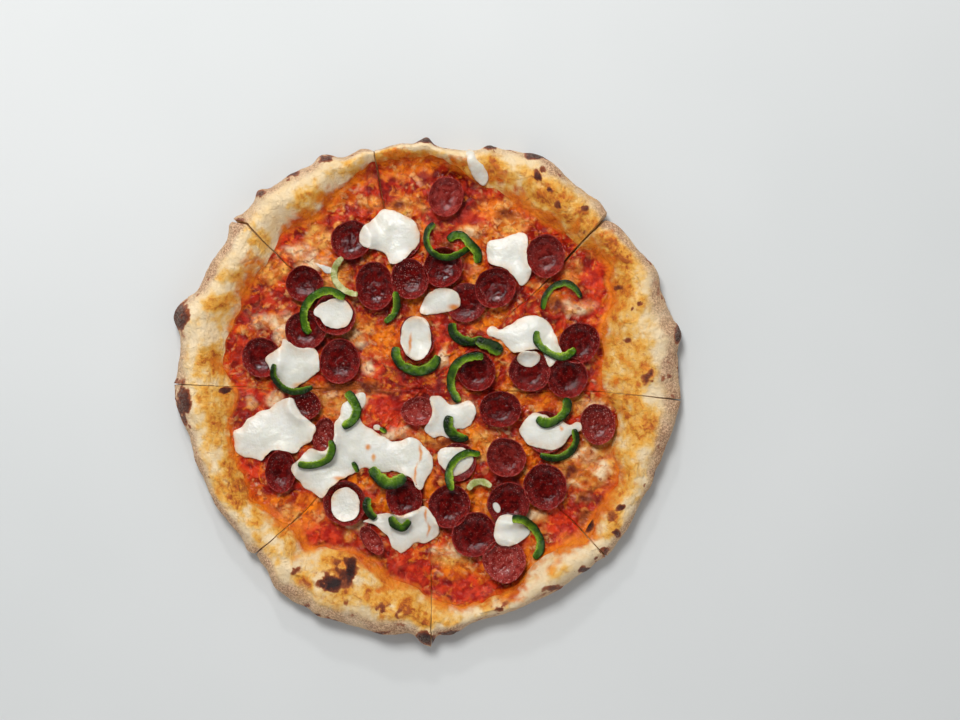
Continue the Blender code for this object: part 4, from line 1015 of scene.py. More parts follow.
class Rim:
    """Outer edge, sauce edge, crest and heights of one slice at given shares."""

    def __init__(self, index, shares):
        self.index = index
        self.shares = shares
        radii, angles = polar(spline(plan(OUTLINES[index]), False, CURVE_STEP))
        first = cut_side(index, radii, 1)
        last = cut_side(index + 1, radii, -1)
        found = ((angles - first + math.pi) % (2 * math.pi) - math.pi) / (last - first)
        order = np.argsort(found)
        self.outer = np.interp(shares, found[order], radii[order])
        edge = sauce_radius(fan(index, shares, self.outer)[1])
        self.edge = sauce_radius(fan(index, shares, edge)[1])
        self.foot = self.edge - FOOT_WIDTH
        self.crest = self.outer - CREST_SHARE * (self.outer - self.edge)
        point, angle = fan(index, shares, self.crest)
        wave = 1 + 0.05 * np.sin(3 * angle + 1) + 0.03 * np.sin(8 * angle + 2)
        slump = 1 - CUT_SLUMP * np.exp(-((self.from_cut(self.outer) / SLUMP_REACH) ** 2))
        self.height = RIM_HEIGHT * wave * slump + bumps(point, PUFFS)
        self.waist = WAIST_SHARE * self.height

    def from_cut(self, radius):
        """Way along an arc to the nearer cut."""
        arc = radius * (cut_side(self.index + 1, radius, -1) - cut_side(self.index, radius, 1))
        return np.minimum(self.shares, 1 - self.shares) * arc

    def inner_height(self, radius):
        """Height of the dough from the tip out to the crest."""
        point, _ = fan(self.index, self.shares, radius)
        climb = smooth_step((radius - self.foot) / (self.crest - self.foot))
        foot, _ = fan(self.index, self.shares, self.foot)
        low = np.where(radius < self.foot, base_height(point), base_height(foot))
        return low + climb * (self.height - low) + climb * self.unevenness(point, 0.0)

    def unevenness(self, point, height):
        """Lumps, creases, blisters and fine grain of the rim."""
        spot = np.concatenate([point, np.broadcast_to(height, point.shape[:-1])[..., None]], axis=-1)
        lumps = 0.0010 * rough(spot, 0.020, 2, 11) + 0.00045 * rough(spot, 0.0065, 3, 12)
        lumps = lumps + 0.0006 * noise(spot, 0.0105, 16)
        crease = np.exp(-((rough(spot, 0.017, 2, 13) / 0.07) ** 2))
        fold = smooth_step(noise(spot, 0.022, 14) / 0.5 + 0.5)
        crusty = patches(point, GOLDEN, 0.8, 0.002)
        bubbly = 0.00070 * crusty * rough(spot, 0.0046, 3, 15)
        return lumps - 0.0006 * crease * fold + bubbly + bumps(point, BLISTERS)

    def inner_row(self, radius):
        """A row of the top, from the tip to the crest."""
        point, _ = fan(self.index, self.shares, radius)
        return np.column_stack([point, self.inner_height(radius)])

    def outer_row(self, radius, height, outward, upward):
        """A row of the round outside, which its unevenness moves outward and upward."""
        point, angle = fan(self.index, self.shares, radius)
        push = self.unevenness(point, height)
        point = point + directions(angle) * (outward * push)[:, None]
        return np.column_stack([point, height + upward * push])


def spaced(count):
    """Shares from 0 to 1, closer together beside the cuts."""
    even = np.linspace(0, 1, count)
    return even - CROWDING * np.sin(2 * math.pi * even) / (2 * math.pi)


def dough_rows(rim):
    """Rows of points from the tip over the base, the slope and the crest to the ground."""
    rows = []
    for part in np.linspace(BASE_START, 1, BASE_ROWS, endpoint=False):
        rows.append(rim.inner_row(part * rim.foot))
    for part in np.linspace(0, 1, SLOPE_ROWS, endpoint=False):
        rows.append(rim.inner_row(rim.foot + part * (rim.crest - rim.foot)))
    for turn in np.linspace(0, math.pi / 2, ROUND_ROWS):
        radius = rim.crest + (rim.outer - rim.crest) * math.sin(turn)
        height = rim.waist + (rim.height - rim.waist) * math.cos(turn)
        rows.append(rim.outer_row(radius, height, math.sin(turn), math.cos(turn)))
    for turn in np.linspace(0, math.pi / 2, UNDER_ROWS + 1)[1:]:
        radius = rim.outer - TUCK * (1 - math.cos(turn))
        rows.append(rim.outer_row(radius, rim.waist * (1 - math.sin(turn)), math.cos(turn), 0.0))
    return np.array(rows)


def cut_wall(index, cut, upper, within):
    """Levels of one cut side of a slice, from the ground to the bottom of the groove."""
    crest_row = BASE_ROWS + SLOPE_ROWS
    lower = upper * (1, 1, 0)
    lower[crest_row:] = lower[crest_row]
    inward = (within - upper) * (1, 1, 0)
    inward /= np.maximum(np.linalg.norm(inward, axis=1), 1e-9)[:, None]
    gap = cut_gap(cut, polar(lower[:, :2])[0])[:, None]
    levels = []
    for share in np.arange(SIDE_LEVELS) / SIDE_LEVELS:
        wall = lower + (upper - lower) * share
        if len(levels) == SIDE_LEVELS - 1:
            wall[:, 2] = upper[:, 2] - np.minimum(GROOVE_DEPTH * gap[:, 0], 0.4 * upper[:, 2])
        crumbs = 0.00030 * rough(wall, 0.0025, 3, 21 + index)[:, None]
        levels.append(wall + inward * (crumbs * math.sin(math.pi * share) - CUT_FILL * gap))
    return levels


def add_slice(index, look):
    """Dough of one slice: base, inner slope, puffed rim, cut sides and underside."""
    rim = Rim(index, spaced(COLUMNS))
    crest_row = BASE_ROWS + SLOPE_ROWS
    top = dough_rows(rim)
    shell = Shell()
    numbers = shell.add(top)
    tip = slice_tip(index)
    tip_top, tip_low = shell.add([[*tip, base_height(tip)], [*tip, 0.0]])
    shell.faces += grid_quads(numbers)
    shell.cap(tip_top, numbers[0])
    edges = []
    for side, inside, cut in ((0, 3, index), (-1, -4, index + 1)):
        wall = shell.add(cut_wall(index, cut, top[:, side], top[:, inside]))
        wall[0, crest_row:] = wall[0, crest_row]
        whole = np.vstack([wall, numbers[:, side]])
        shell.faces += [list(dict.fromkeys(quad)) for quad in grid_quads(whole)]
        shell.faces.append([tip_low, *whole[:, 0], tip_top])
        edges.append(whole)
    first, last = edges
    ground = [tip_low, *first[0, : crest_row + 1], *first[1:, -1], *numbers[-1][1:]]
    ground += [*last[1:-1, -1][::-1], *last[0, : crest_row + 1][::-1]]
    shell.faces.append(ground)
    masks = {name: shell.padded(values) for name, values in rim_masks(index, rim, top).items()}
    masks["cut"] = np.arange(shell.count) > tip_low
    add_piece(f"dough_{index + 1}", shell, look, (f"dough_slice_{index + 1}",), masks)
    return top.reshape(-1, 3)


def oil_share(point):
    """How far the oil runs up the rim: it comes and goes along the sauce's edge."""
    return smooth_step(0.45 + 0.9 * noise(point, 0.028, 33))


def rim_masks(index, rim, top):
    """Where the dough is oily, golden, floury or charred."""
    point = top[..., :2]
    beyond = polar(point)[0] - rim.edge
    across = np.clip(beyond / (rim.outer - rim.edge), -1, 1.2)
    wave = rough(top, 0.012, 3, 31)
    fine = rough(top, 0.0045, 3, 32)
    share = oil_share(top)
    oil = np.exp(-np.maximum(beyond + 0.003 * wave, 0) / (0.0022 + 0.0050 * share))
    oil = oil * (1 + 0.3 * fine) * (0.50 + 0.50 * share)
    spilled = patches(point, OILY, 0.8, 0.0040) * (0.75 + 0.5 * rough(top, 0.0035, 2, 34))
    outside = (top[..., 2] < rim.waist * 1.35) & (across > 0.3)
    flour = smooth_step((across + 0.09 * wave + 0.03 * fine - 0.69) / 0.18)
    flour = np.maximum(flour, 0.75 * outside) * np.clip(0.86 + 0.30 * wave, 0, 1)
    cream = patches(point, CREAM, 0.6, 0.003)
    flour = flour * (1 - 0.6 * cream)
    gold = INNER_GOLD[index] * smooth_step((0.70 + 0.22 * wave - across) / 0.35)
    gold = np.maximum(gold * (1 - 0.85 * cream), patches(point, GOLDEN, 0.7, 0.003))
    gold = np.clip(gold + 0.35 * wave + 0.25 * fine, 0, 1) * (1 - 0.8 * flour)
    burnt = patches(point, CHARS, 0.8, 0.0020)
    char = burnt * smooth_step((burnt + 0.45 * rough(top, 0.0042, 3, 42) - 0.22) / 0.40)
    leopard = smooth_step((rough(top, 0.0060, 3, 41) - 0.55) / 0.35)
    char = np.maximum(char, 0.55 * leopard * smooth_step((across - 0.6) / 0.3))
    return {"oil": np.maximum(oil, spilled), "flour": flour, "gold": gold, "char": char}


# Sauce and melted cheese

def melt_masks(point):
    """Where the sauce is deep, bright or orange, where cheese melted or browned, and where shade along a
    cut is painted.
    """
    masks = {kind: patches(point, table, 0.45, 0.0030) for kind, table in MELT.items()}
    drift = rough(point, 0.012, 2, 51)
    veins = rough(point, 0.0075, 2, 52)
    curd = rough(point, 0.0050, 2, 53)
    red = 1 - np.maximum(masks["deep"], masks["bright"])
    masks["pale"] = masks["pale"] * (0.9 + 0.4 * curd)
    scattered = {
        "deep": 0.8 * smooth_step((-drift - 0.15) / 0.3),
        "orange": 0.8 * red * smooth_step((drift - 0.45) / 0.3),
        "gold": 0.8 * red * smooth_step((veins - 0.55) / 0.25),
        "pale": 0.5 * red * smooth_step((curd - 0.70) / 0.25),
    }
    for kind, more in scattered.items():
        masks[kind] = np.maximum(masks[kind], more)
    masks["gold"] = masks["gold"] * (0.8 + 0.5 * curd)
    return {kind: np.clip(mask, 0, 1) for kind, mask in masks.items()}


def melt_thickness(point, masks, to_edge, from_cut):
    """Thickness of the baked layer: lumpy, and thin at its edge and beside the cuts."""
    lump = 1 - 2 * np.abs(rough(point, 0.0062, 3, 62))
    thick = LAYER_THICKNESS + 0.00060 * rough(point, 0.010, 2, 63) + 0.00060 * lump
    thick += 0.0008 * masks["pale"] + 0.0005 * masks["gold"] - 0.0004 * masks["orange"]
    thick += 0.00030 * rough(point, 0.0032, 2, 64)
    thick = np.maximum(thick, MELT_LEAST)
    thick *= smooth_step(to_edge / MELT_EDGE) * 0.97 + 0.03
    dip = 0.22 + 0.18 * noise(point, 0.006, 66)
    return thick * (1 - dip * np.exp(-((from_cut / 0.0006) ** 2)))


def add_melt(index, look):
    """Sauce and melted cheese of one slice, thin and uneven over the dough."""
    shares = spaced(MELT_COLUMNS)
    rim = Rim(index, shares)
    reach = rim.edge + 0.0016 * noise(fan(index, shares, rim.edge)[0], 0.006, 61)
    parts = np.linspace(MELT_START, 1, MELT_ROWS)[:, None]
    radius = parts * reach
    to_edge = reach - radius
    point, _ = fan(index, shares, radius)
    floor = rim.inner_height(radius)
    masks = melt_masks(point)
    thick = melt_thickness(point, masks, to_edge, rim.from_cut(radius))
    fade = 0.0022 * noise(point, 0.012, 65) + 0.0009 * noise(point, 0.004, 67)
    share = oil_share(point)
    slope = smooth_step(1 - (to_edge + fade) / (0.0024 + 0.0030 * share))
    masks["slope"] = slope * (0.45 + 0.55 * share)
    top = np.concatenate([point, (floor + CLEARANCE * 0.5 * parts + thick)[..., None]], axis=-1)
    shell = Shell()
    numbers = shell.add(top)
    tip = slice_tip(index)
    tip_height = float(base_height(tip))
    tip_top, tip_low = shell.add([[*tip, tip_height + LAYER_THICKNESS], [*tip, tip_height]])
    shell.faces += grid_quads(numbers)
    shell.cap(tip_top, numbers[0])
    rows = np.linspace(0, MELT_ROWS - 1, LOW_ROWS).astype(int)
    rows = np.unique(np.append(rows, MELT_ROWS - 1 - 2 * np.arange(LOW_EDGE_ROWS)))
    low = top[rows].copy()
    low[..., 2] = floor[rows] - SINK
    under = shell.add(low)
    shell.faces += [quad[::-1] for quad in grid_quads(under)]
    shell.cap(tip_low, under[0][::-1])
    for side in (0, -1):
        upper, lower = numbers[:, side], under[:, side]
        shell.faces.append([tip_low, lower[0], upper[0], tip_top])
        for low_a, low_b, start, end in zip(lower, lower[1:], rows, rows[1:]):
            shell.faces.append([low_a, low_b, *upper[start : end + 1][::-1]])
    shell.faces += list(zip(under[-1], under[-1][1:], numbers[-1][1:], numbers[-1]))
    masks = {name: shell.padded(values) for name, values in masks.items()}
    # Painted shade: the underside is brown, so the layer's sides at the cuts darken toward the bottom.
    masks["brown_and_cut_shade"][tip_low + 1 :] = 0.6
    add_piece(f"melt_{index + 1}", shell, look, (f"melted_layer_{index + 1}",), masks)
    return top.reshape(-1, 3)


class Heights:
    """Heights already taken up, on a square grid over the plan."""

    def __init__(self):
        self.count = int(2 * GRID_HALF / CELL) + 1
        self.top = np.zeros((self.count, self.count))

    def cells(self, points):
        """Column and row of each point."""
        found = np.round((points[:, :2] + GRID_HALF) / CELL).astype(int)
        return np.clip(found, 0, self.count - 1).T

    def spread(self, grid, pick):
        """The highest or lowest value of every cell and its neighbours."""
        wide = np.pad(grid, 1, mode="edge")
        size = self.count
        return pick([wide[i : i + size, j : j + size] for i in range(3) for j in range(3)], axis=0)

    def add(self, points):
        """Take up the points of a piece, and close the small holes between them."""
        own = np.zeros_like(self.top)
        np.maximum.at(own, tuple(self.cells(points)), points[:, 2])
        closed = self.spread(self.spread(own, np.max), np.min)
        self.top = np.maximum(self.top, np.maximum(own, closed))

    def at(self, points):
        """Height taken up at each point."""
        column, row = self.cells(points)
        return self.top[column, row]

    def highest(self, points, reach):
        """Greatest height taken up within a reach of each point."""
        cells = int(math.ceil(reach / CELL))
        found = np.zeros(len(points))
        for step in itertools.product(range(-cells, cells + 1), repeat=2):
            if math.hypot(*step) <= cells:
                found = np.maximum(found, self.at(points[:, :2] + np.array(step) * CELL))
        return found

    def draped(self, passes):
        """The surface as a soft skin over it would lie."""
        skin = self.top.copy()
        for _ in range(passes):
            wide = np.pad(skin, 1, mode="edge")
            mean = (wide[:-2, 1:-1] + wide[2:, 1:-1] + wide[1:-1, :-2] + wide[1:-1, 2:]) / 4
            skin = np.maximum(self.top, mean)
        return skin


# Pepperoni

def group_node(group):
    """Name of the solid that stands for a group of cups."""
    return "pepperoni_" + "_".join(f"{number:02}" for number in group)


def cup_seat(node, cup):
    """Height of a cup's underside at its middle and its slope, from the lip of its solid."""
    x, y, half_width, half_length, turn, curl = cup
    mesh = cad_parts[node].data
    tree = BVHTree.FromPolygons(
        [vertex.co for vertex in mesh.vertices], [tuple(face.vertices) for face in mesh.polygons]
    )
    found = []
    for angle in np.linspace(0, 2 * math.pi, LIP_RAYS, endpoint=False):
        offset = np.array((half_width * math.cos(angle), half_length * math.sin(angle)))
        offset = turned(LIP_SHARE * PLAN_UNIT * offset, turn)
        above = Vector((*(plan((x, y)) + offset), PIZZA_WIDTH))
        hit = tree.ray_cast(above, Vector((0, 0, -1)))[0]
        if hit is not None:
            found.append((*offset, 1.0, hit.z))
    found = np.array(found)
    fit = np.linalg.lstsq(found[:, :3], found[:, 3], rcond=None)[0]
    return fit[2] - PEPPERONI_DEPTH * curl - 0.25 * PEPPERONI_THICKNESS, fit[:2]


def cup_section():
    """Rings of a cup: share of the half width, share of the depth, share of the thickness."""
    section = spline(CUP_SECTION, False, 0.001)
    marks = np.linspace(0, len(section) - 1, CUP_RINGS + 2)[1:-1]
    return [np.interp(marks, np.arange(len(section)), column)[:, None] for column in section.T]


def cup_masks(number, share, lip_row, circle, angle, turn):
    """Where a cup's lip, walls, fat and pallor show; the walls are painted lighter on their south side as
    painted light.
    """
    row = np.arange(CUP_RINGS)[:, None]
    outer = row < lip_row
    patch = 0.5 + 0.5 * noise(circle, 0.35, 150 + number)
    lip = smooth_step(1 - np.abs(row - lip_row) / 2.2) * (0.25 + 0.75 * patch)
    # Painted light: the wall colour is strongest on the south side, which faces the lamps in the north, and
    # weakest on the shaded north side.
    south = 0.5 - 0.5 * np.sin(angle + math.radians(turn))
    wall = smooth_step((share - 0.50) / 0.40) * (0.35 + 0.65 * south) * (0.7 + 0.3 * patch)
    masks = {
        "lip": np.where(outer, np.maximum(lip, 0.25), lip),
        "wall": np.where(outer, 0.8, wall),
        "fat": np.clip(0.12 + 0.25 * (share > 0.6) + SPECKLED_CUPS.get(number, 0.0), 0, 1),
        "pallor": PALE_CUPS.get(number, 0.0),
    }
    for name, values in masks.items():
        values = np.broadcast_to(values, (CUP_RINGS, CUP_SIDES))
        masks[name] = np.append(values, [values[0, 0], values[-1, 0]])
    return masks


def add_cup(number, nodes, look, heights):
    """One curled slice of pepperoni with a thin uneven lip."""
    cup = PEPPERONI[number] if nodes else HIDDEN_CUPS[number]
    x, y, half_width, half_length, turn, curl = cup
    centre = plan((x, y))
    if nodes:
        seat, lean = cup_seat(nodes[0], cup)
    else:
        seat, lean = heights.at(centre[None])[0] + CLEARANCE, np.zeros(2)
    share, rise, wall = cup_section()
    row = np.arange(CUP_RINGS)[:, None]
    lip_row = int(np.argmax(rise))
    angle = np.linspace(0, 2 * math.pi, CUP_SIDES, endpoint=False)
    circle = directions(angle)
    outline = 1 + 0.03 * np.sin(2 * angle + number) + 0.045 * noise(circle, 0.7, 70 + number)
    outline = outline + 0.012 * noise(circle, 0.16, 170 + number) * rise
    frill = 0.10 * noise(circle, 0.45, 90 + number) + 0.06 * noise(circle, 0.14, 130 + number)
    uneven = 1 + share * (0.10 * np.sin(2 * angle + 1.7 * number)) + frill * rise
    halves = PLAN_UNIT * np.array((half_width, half_length))
    offset = turned((share * outline)[..., None] * halves * circle, turn)
    depth = PEPPERONI_DEPTH * curl * CUP_LIFT
    height = seat + depth * rise * uneven + PEPPERONI_THICKNESS * wall + offset @ lean
    points = np.concatenate([centre + offset, height[..., None]], axis=-1)
    sag = rough(points + number, 0.0080, 2, 81)
    points[..., 2] += 0.00040 * sag * (row > lip_row + 1) * (1.1 - share)
    shell = Shell()
    numbers = shell.add(points)
    numbers = np.hstack([numbers, numbers[:, :1]])
    under, over = shell.add([(*centre, seat), (*centre, points[-1, :, 2].mean())])
    shell.faces += [quad[::-1] for quad in grid_quads(numbers)]
    shell.cap(under, numbers[0][::-1])
    shell.cap(over, numbers[-1])
    masks = cup_masks(number, share, lip_row, circle, angle, turn)
    add_piece(f"pepperoni_slice_{number:02}", shell, look, nodes, masks)
    return np.vstack(shell.points)


# Fresh cheese

def inside_outline(outline, points):
    """Distance of each point to a closed outline, and whether it is inside."""
    start = outline[None]
    along = np.roll(outline, -1, axis=0)[None] - start
    offset = points[:, None] - start
    share = np.clip((offset * along).sum(-1) / (along**2).sum(-1), 0, 1)
    away = np.sqrt(((offset - share[..., None] * along) ** 2).sum(-1)).min(axis=1)
    end_y = np.roll(outline[:, 1], -1)[None]
    crosses = (start[..., 1] > points[:, 1:2]) != (end_y > points[:, 1:2])
    slope = along[..., 0] / np.where(along[..., 1] == 0, 1e-12, along[..., 1])
    at = start[..., 0] + offset[..., 1] * slope
    inside = (crosses & (at > points[:, :1])).sum(axis=1) % 2 == 1
    return away, inside


def soft_outline(places, seed):
    """A smooth outline with the small waviness of soft cheese."""
    outline = spline(plan(places), True, CHEESE_STEP)
    for _ in range(3):
        outline = (np.roll(outline, 1, axis=0) + outline + np.roll(outline, -1, axis=0)) / 3
    wave = 0.0007 * noise(outline, 0.006, seed) + 0.00035 * noise(outline, 0.0022, seed + 1)
    return outline + normals(outline) * wave[:, None]


def cheese_grid(outline):
    """Plan points and triangles of a dollop, with rings close inside its outline."""
    after = np.roll(outline, -1, axis=0)
    area = (outline[:, 0] * after[:, 1] - outline[:, 1] * after[:, 0]).sum()
    inward = -np.sign(area) * normals(outline)
    groups = [outline]
    for inset in CHEESE_INSETS:
        ring = outline + inset * inward
        away, inside = inside_outline(outline, ring)
        groups.append(ring[inside & (away > 0.93 * inset)])
    low, high = outline.min(axis=0), outline.max(axis=0)
    grid = []
    for row, y in enumerate(np.arange(low[1], high[1], CHEESE_ROW_STEP)):
        x = np.arange(low[0] + (row % 2) * CHEESE_STEP / 2, high[0], CHEESE_STEP)
        grid.append(np.column_stack([x, np.full_like(x, y)]))
    grid = np.vstack(grid)
    away, inside = inside_outline(outline, grid)
    groups.append(grid[inside & (away > CHEESE_MARGIN)])
    places = [Vector(point) for point in np.vstack(groups).tolist()]
    found = geometry.delaunay_2d_cdt(places, [], [list(range(len(outline)))], 1, 1e-7)
    return np.array([tuple(point) for point in found[0]]), [tuple(face) for face in found[2]]


def neighbours(faces):
    """Pairs of neighbouring vertices of a mesh, both ways round."""
    pairs = {tuple(sorted(pair)) for face in faces for pair in zip(face, face[1:] + face[:1])}
    pairs = np.array(sorted(pairs))
    return np.vstack([pairs, pairs[:, ::-1]])


def relaxed(values, floor, pairs, passes):
    """Values smoothed over a mesh that stay above a floor."""
    weight = np.bincount(pairs[:, 0], minlength=len(values))
    for _ in range(passes):
        mean = np.bincount(pairs[:, 0], values[pairs[:, 1]], len(values)) / np.maximum(weight, 1)
        values = np.maximum(floor, mean)
    return values


def skin_height(skin, points):
    """Height of a draped skin under points in plan, between the middles of its cells."""
    place = (points + GRID_HALF) / CELL
    base = np.floor(place).astype(int)
    part = place - base
    height = np.zeros(len(points))
    for corner in itertools.product((0, 1), repeat=2):
        weight = np.prod(np.where(corner, part, 1 - part), axis=1)
        height += skin[base[:, 0] + corner[0], base[:, 1] + corner[1]] * weight
    return height


def add_dollop(name, places, skin, look, nodes=(), thick=CHEESE_THICKNESS, seed=0):
    """Soft cheese that lies over what is under it, with round edges."""
    outline = soft_outline(places, 200 + seed)
    points, triangles = cheese_grid(outline)
    away, _ = inside_outline(outline, points)
    under = skin_height(skin, points)
    share = np.clip(away / DOME_REACH, 0, 1)
    profile = 0.13 + 0.87 * np.sqrt(1 - (1 - share) ** 2) * (0.55 + 0.45 * share)
    profile *= np.sqrt(1 - (1 - np.clip(away / EDGE_REACH, 0, 1)) ** 2)
    lumps = 0.0008 * rough(points, 0.010, 2, 210 + seed)
    over = under + profile * (0.92 * thick - 0.0006 + lumps)
    over = relaxed(over, under + 0.35 * profile * thick, neighbours(triangles), RELAX_PASSES)
    ring = list(range(len(outline)))
    over[ring] = under[ring] + 0.0001
    shell = Shell()
    shell.add(np.column_stack([points, over]))
    low = shell.add(np.column_stack([points, under - SINK]))
    shell.faces += triangles
    shell.faces += [tuple(low[corner] for corner in reversed(face)) for face in triangles]
    shell.faces += [(a, low[a], low[b], b) for a, b in zip(ring, ring[1:] + ring[:1])]
    thinness = np.exp(-away / (0.0009 + 0.0009 * (1 + noise(points, 0.012, 221))))
    edge = thinness * (0.60 + 0.5 * noise(points, 0.005, 220))
    masks = {"edge": np.tile(edge, 2), "stain": np.tile(patches(points, STAINS, 0.7, 0.0016), 2)}
    add_piece(name, shell, look, nodes, masks)
    return shell.points[0]


# Green chilli

def chilli_middle(path, half_width, heights):
    """Height of a strip's middle: it lies smoothly on what is under it."""
    floor = heights.highest(path, half_width * 0.8)
    for _ in range(12):
        wide = np.pad(floor, 2, mode="edge")
        floor = np.maximum(floor, (wide[:-4] + wide[1:-3] + wide[3:-1] + wide[4:]) / 4)
    floor = np.convolve(np.pad(floor, 4, mode="edge"), np.ones(9) / 9, mode="valid")
    return floor + CHILLI_HEIGHT / 2 * 0.45


def squarish(values):
    """Sines or cosines of a round section, pushed out toward a square."""
    return np.sign(values) * np.abs(values) ** 0.5


def chilli_masks(number, path, outer, upper):
    """Where a strip's skin, its pale inner side and its faded flesh show."""
    dark = CHILLI[number][2]
    edge = 0.25 * noise(path, 0.004, 350 + number)[:, None]
    skin = smooth_step((outer + dark * np.maximum(upper, 0.2) - 0.40 + edge) / 0.35)
    skin = np.maximum(skin, smooth_step((-upper - 0.2) / 0.3) * 0.8)
    pith = smooth_step((-outer - 0.25 + 1.2 * edge) / 0.45) * max(0.0, 0.95 - 0.7 * dark)
    if dark < 0:
        skin = skin * 0.35
        pith = np.maximum(pith, 0.8)
    return skin, pith, np.full(skin.shape, 0.85 if dark < 0 else 0.0)


def add_chilli(number, heights, look):
    """A bent strip cut across a chilli: dark skin outside, flesh on the cut face."""
    course, width, dark = CHILLI[number]
    path = spline(plan(course), False, CHILLI_STEP)
    half_width = width * PLAN_UNIT / 2 * CHILLI_BULGE
    along = np.gradient(path, axis=0)
    along /= np.linalg.norm(along, axis=1)[:, None]
    across = np.stack([-along[:, 1], along[:, 0]], axis=1)
    bend = np.cross(along[:-1], along[1:]).sum()
    outside = -np.sign(bend) if abs(bend) > 0.05 else 1.0
    travel = np.arange(len(path)) * CHILLI_STEP
    to_end = np.minimum(travel, travel[-1] - travel)
    taper = np.sqrt(np.clip(to_end / BLUNT_END, 0.0, 1.0)) * 0.35 + 0.65
    taper *= 0.80 + 0.20 * smooth_step(to_end / NARROW_END)
    sides = np.linspace(0, 2 * math.pi, CHILLI_SIDES, endpoint=False)
    outer = outside * np.cos(sides)[None, :]
    upper = np.sin(sides)[None, :]
    thick = 1 + 0.16 * noise(path, 0.0060, 300 + number) + 0.04 * noise(path, 0.0020, 320 + number)
    ripple = 1 + 0.07 * rough(path, 0.0030, 2, 330 + number)
    ragged = 1 + 0.16 * rough(path, 0.0014, 2, 335 + number)[:, None] * smooth_step(-outer)
    offset = squarish(np.cos(sides)) * half_width * (taper * thick)[:, None] * ragged
    gutter = 0.30 * np.maximum(upper, 0) ** 2 * (1 + 0.6 * rough(path, 0.0018, 2, 338)[:, None])
    rise = (squarish(upper) - gutter) * CHILLI_HEIGHT / 2 * (taper * ripple)[:, None]
    rise += 0.25 * outside * offset * (0.4 - dark)
    points = np.concatenate([
        path[:, None] + across[:, None] * offset[..., None],
        (chilli_middle(path, half_width, heights)[:, None] + rise)[..., None],
    ], axis=-1)
    points += 0.00014 * rough(points, 0.0014, 2, 340)[..., None]
    shell = Shell()
    numbers = shell.add(points)
    ring = np.hstack([numbers, numbers[:, :1]])
    first, last = shell.add([
        points[0].mean(axis=0) - 0.0002 * np.array((*along[0], 0)),
        points[-1].mean(axis=0) + 0.0002 * np.array((*along[-1], 0)),
    ])
    shell.faces += grid_quads(ring)
    shell.cap(first, ring[0])
    shell.cap(last, ring[-1][::-1])
    skin, pith, faded = chilli_masks(number, path, outer, upper)
    masks = {
        "skin": shell.padded(skin, 0.1),
        "pith": shell.padded(pith, 0.4),
        "faded": shell.padded(faded, faded[0, 0]),
    }
    nodes = (CHILLI_NODES[number],) if number in CHILLI_NODES else ()
    add_piece(f"chilli_ring_{number:02}", shell, look, nodes, masks)
    return np.vstack(shell.points)


# Lamps, floor and camera

def add_light(name, place, size, power):
    """A soft square light aimed at the pizza."""
    data = bpy.data.lights.new(name, "AREA")
    data.size = size
    data.energy = power
    lamp = bpy.data.objects.new(name, data)
    bpy.context.scene.collection.objects.link(lamp)
    lamp.location = place
    lamp.rotation_euler = (-Vector(place)).to_track_quat("-Z", "Y").to_euler()


def add_world():
    """Even light from the sides and darker overhead, so that wet food isn't veiled."""
    world = bpy.data.worlds.new("studio")
    world.use_nodes = True
    nodes, links = world.node_tree.nodes, world.node_tree.links
    split = nodes.new("ShaderNodeSeparateXYZ")
    links.new(nodes.new("ShaderNodeTexCoord").outputs["Generated"], split.inputs[0])
    spread = nodes.new("ShaderNodeMapRange")
    limits = {"From Min": 0.95, "From Max": 0.20, "To Min": 0.08, "To Max": 0.62}
    for name, value in limits.items():
        spread.inputs[name].default_value = value
    links.new(split.outputs["Z"], spread.inputs["Value"])
    background = nodes["Background"]
    background.inputs["Color"].default_value = (0.96, 0.98, 1.0, 1)
    links.new(spread.outputs["Result"], background.inputs["Strength"])
    bpy.context.scene.world = world


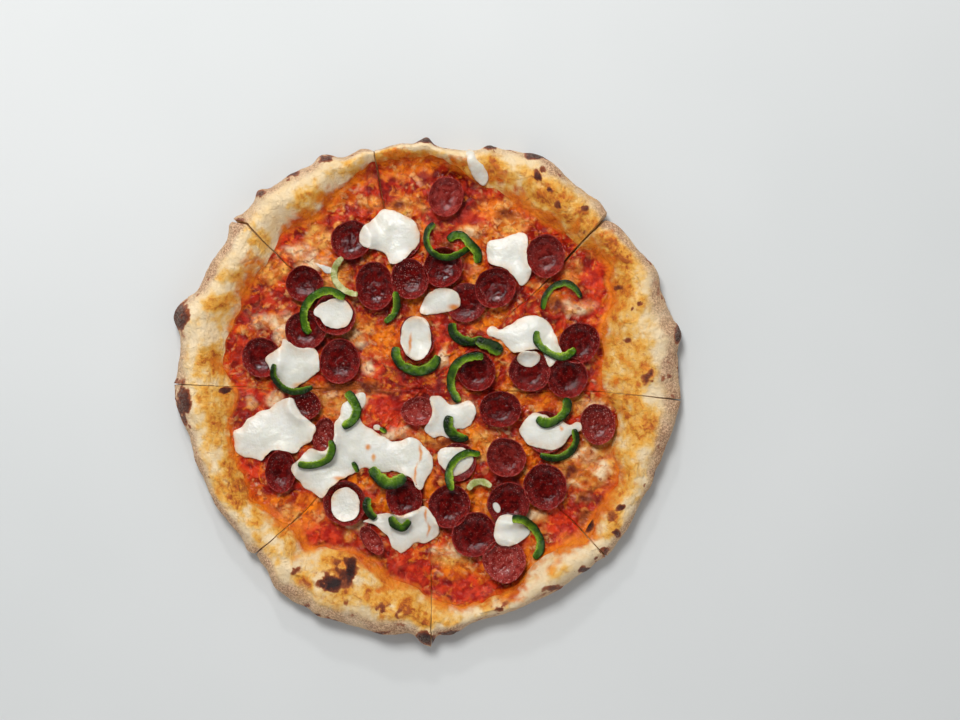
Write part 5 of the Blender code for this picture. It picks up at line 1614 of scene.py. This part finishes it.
def add_floor():
    """A wide, pale floor just under the pizza."""
    bpy.ops.mesh.primitive_plane_add(size=FLOOR_SIZE, location=(0, 0, -SINK))
    floor = bpy.context.object
    floor.name = "floor"
    look = Look("pale_floor", 0.8)
    shade = look.noise(0.35, 0.2, 0.8, 3.0)
    look.set(Base_Color=look.mix(shade, (0.58, 0.595, 0.59), (0.62, 0.63, 0.625)))
    floor.data.materials.append(look.material)


def add_camera():
    """A camera straight above the picture's middle that takes in the picture's width."""
    data = bpy.data.cameras.new("camera")
    data.lens = CAMERA_LENS
    data.sensor_width = CAMERA_SENSOR
    camera = bpy.data.objects.new("camera", data)
    bpy.context.scene.collection.objects.link(camera)
    distance = CAMERA_LENS / CAMERA_SENSOR * PICTURE_WIDTH * PLAN_UNIT
    camera.location = (*plan(PICTURE_MIDDLE), FOCUS_HEIGHT + distance)
    bpy.context.scene.camera = camera


def main():
    """Stage first, then the dough and what lies on it from the bottom up."""
    add_floor()
    for name, (place, size, power) in LAMPS.items():
        add_light(name, place, size, power)
    add_world()
    bpy.context.scene.view_settings.view_transform = "Standard"
    add_camera()
    heights = Heights()
    crust, melt, meat = crust_look(), melt_look(), pepperoni_look()
    cheese, chilli = cheese_look(), chilli_look()
    for index in range(len(CUTS)):
        heights.add(add_slice(index, crust))
        heights.add(add_melt(index, melt))
    for number in HIDDEN_CUPS:
        heights.add(add_cup(number, (), meat, heights))
    for group in PEPPERONI_GROUPS:
        for number in group:
            heights.add(add_cup(number, (group_node(group),), meat, heights))
    skin = heights.draped(DRAPE_PASSES)
    tops = []
    for seed, (name, places) in enumerate(CHEESE.items()):
        nodes = (f"fresh_cheese_{name}",)
        tops.append(add_dollop(f"cheese_{name}", places, skin, cheese, nodes, seed=seed))
    for seed, (number, places) in enumerate(CUP_CHEESE.items(), 20):
        nodes = tuple(group_node(group) for group in PEPPERONI_GROUPS if number in group)
        name = f"cup_cheese_{number:02}"
        tops.append(add_dollop(name, places, skin, cheese, nodes, CUP_CHEESE_THICKNESS, seed))
    for top in tops:
        heights.add(top)
    skin = heights.draped(BIT_DRAPE_PASSES)
    for seed, (name, (places, thick)) in enumerate(CHEESE_BITS.items(), 30):
        heights.add(add_dollop(f"cheese_bit_{name}", places, skin, cheese, (), thick, seed))
    for number in CHILLI:
        heights.add(add_chilli(number, heights, chilli))


main()
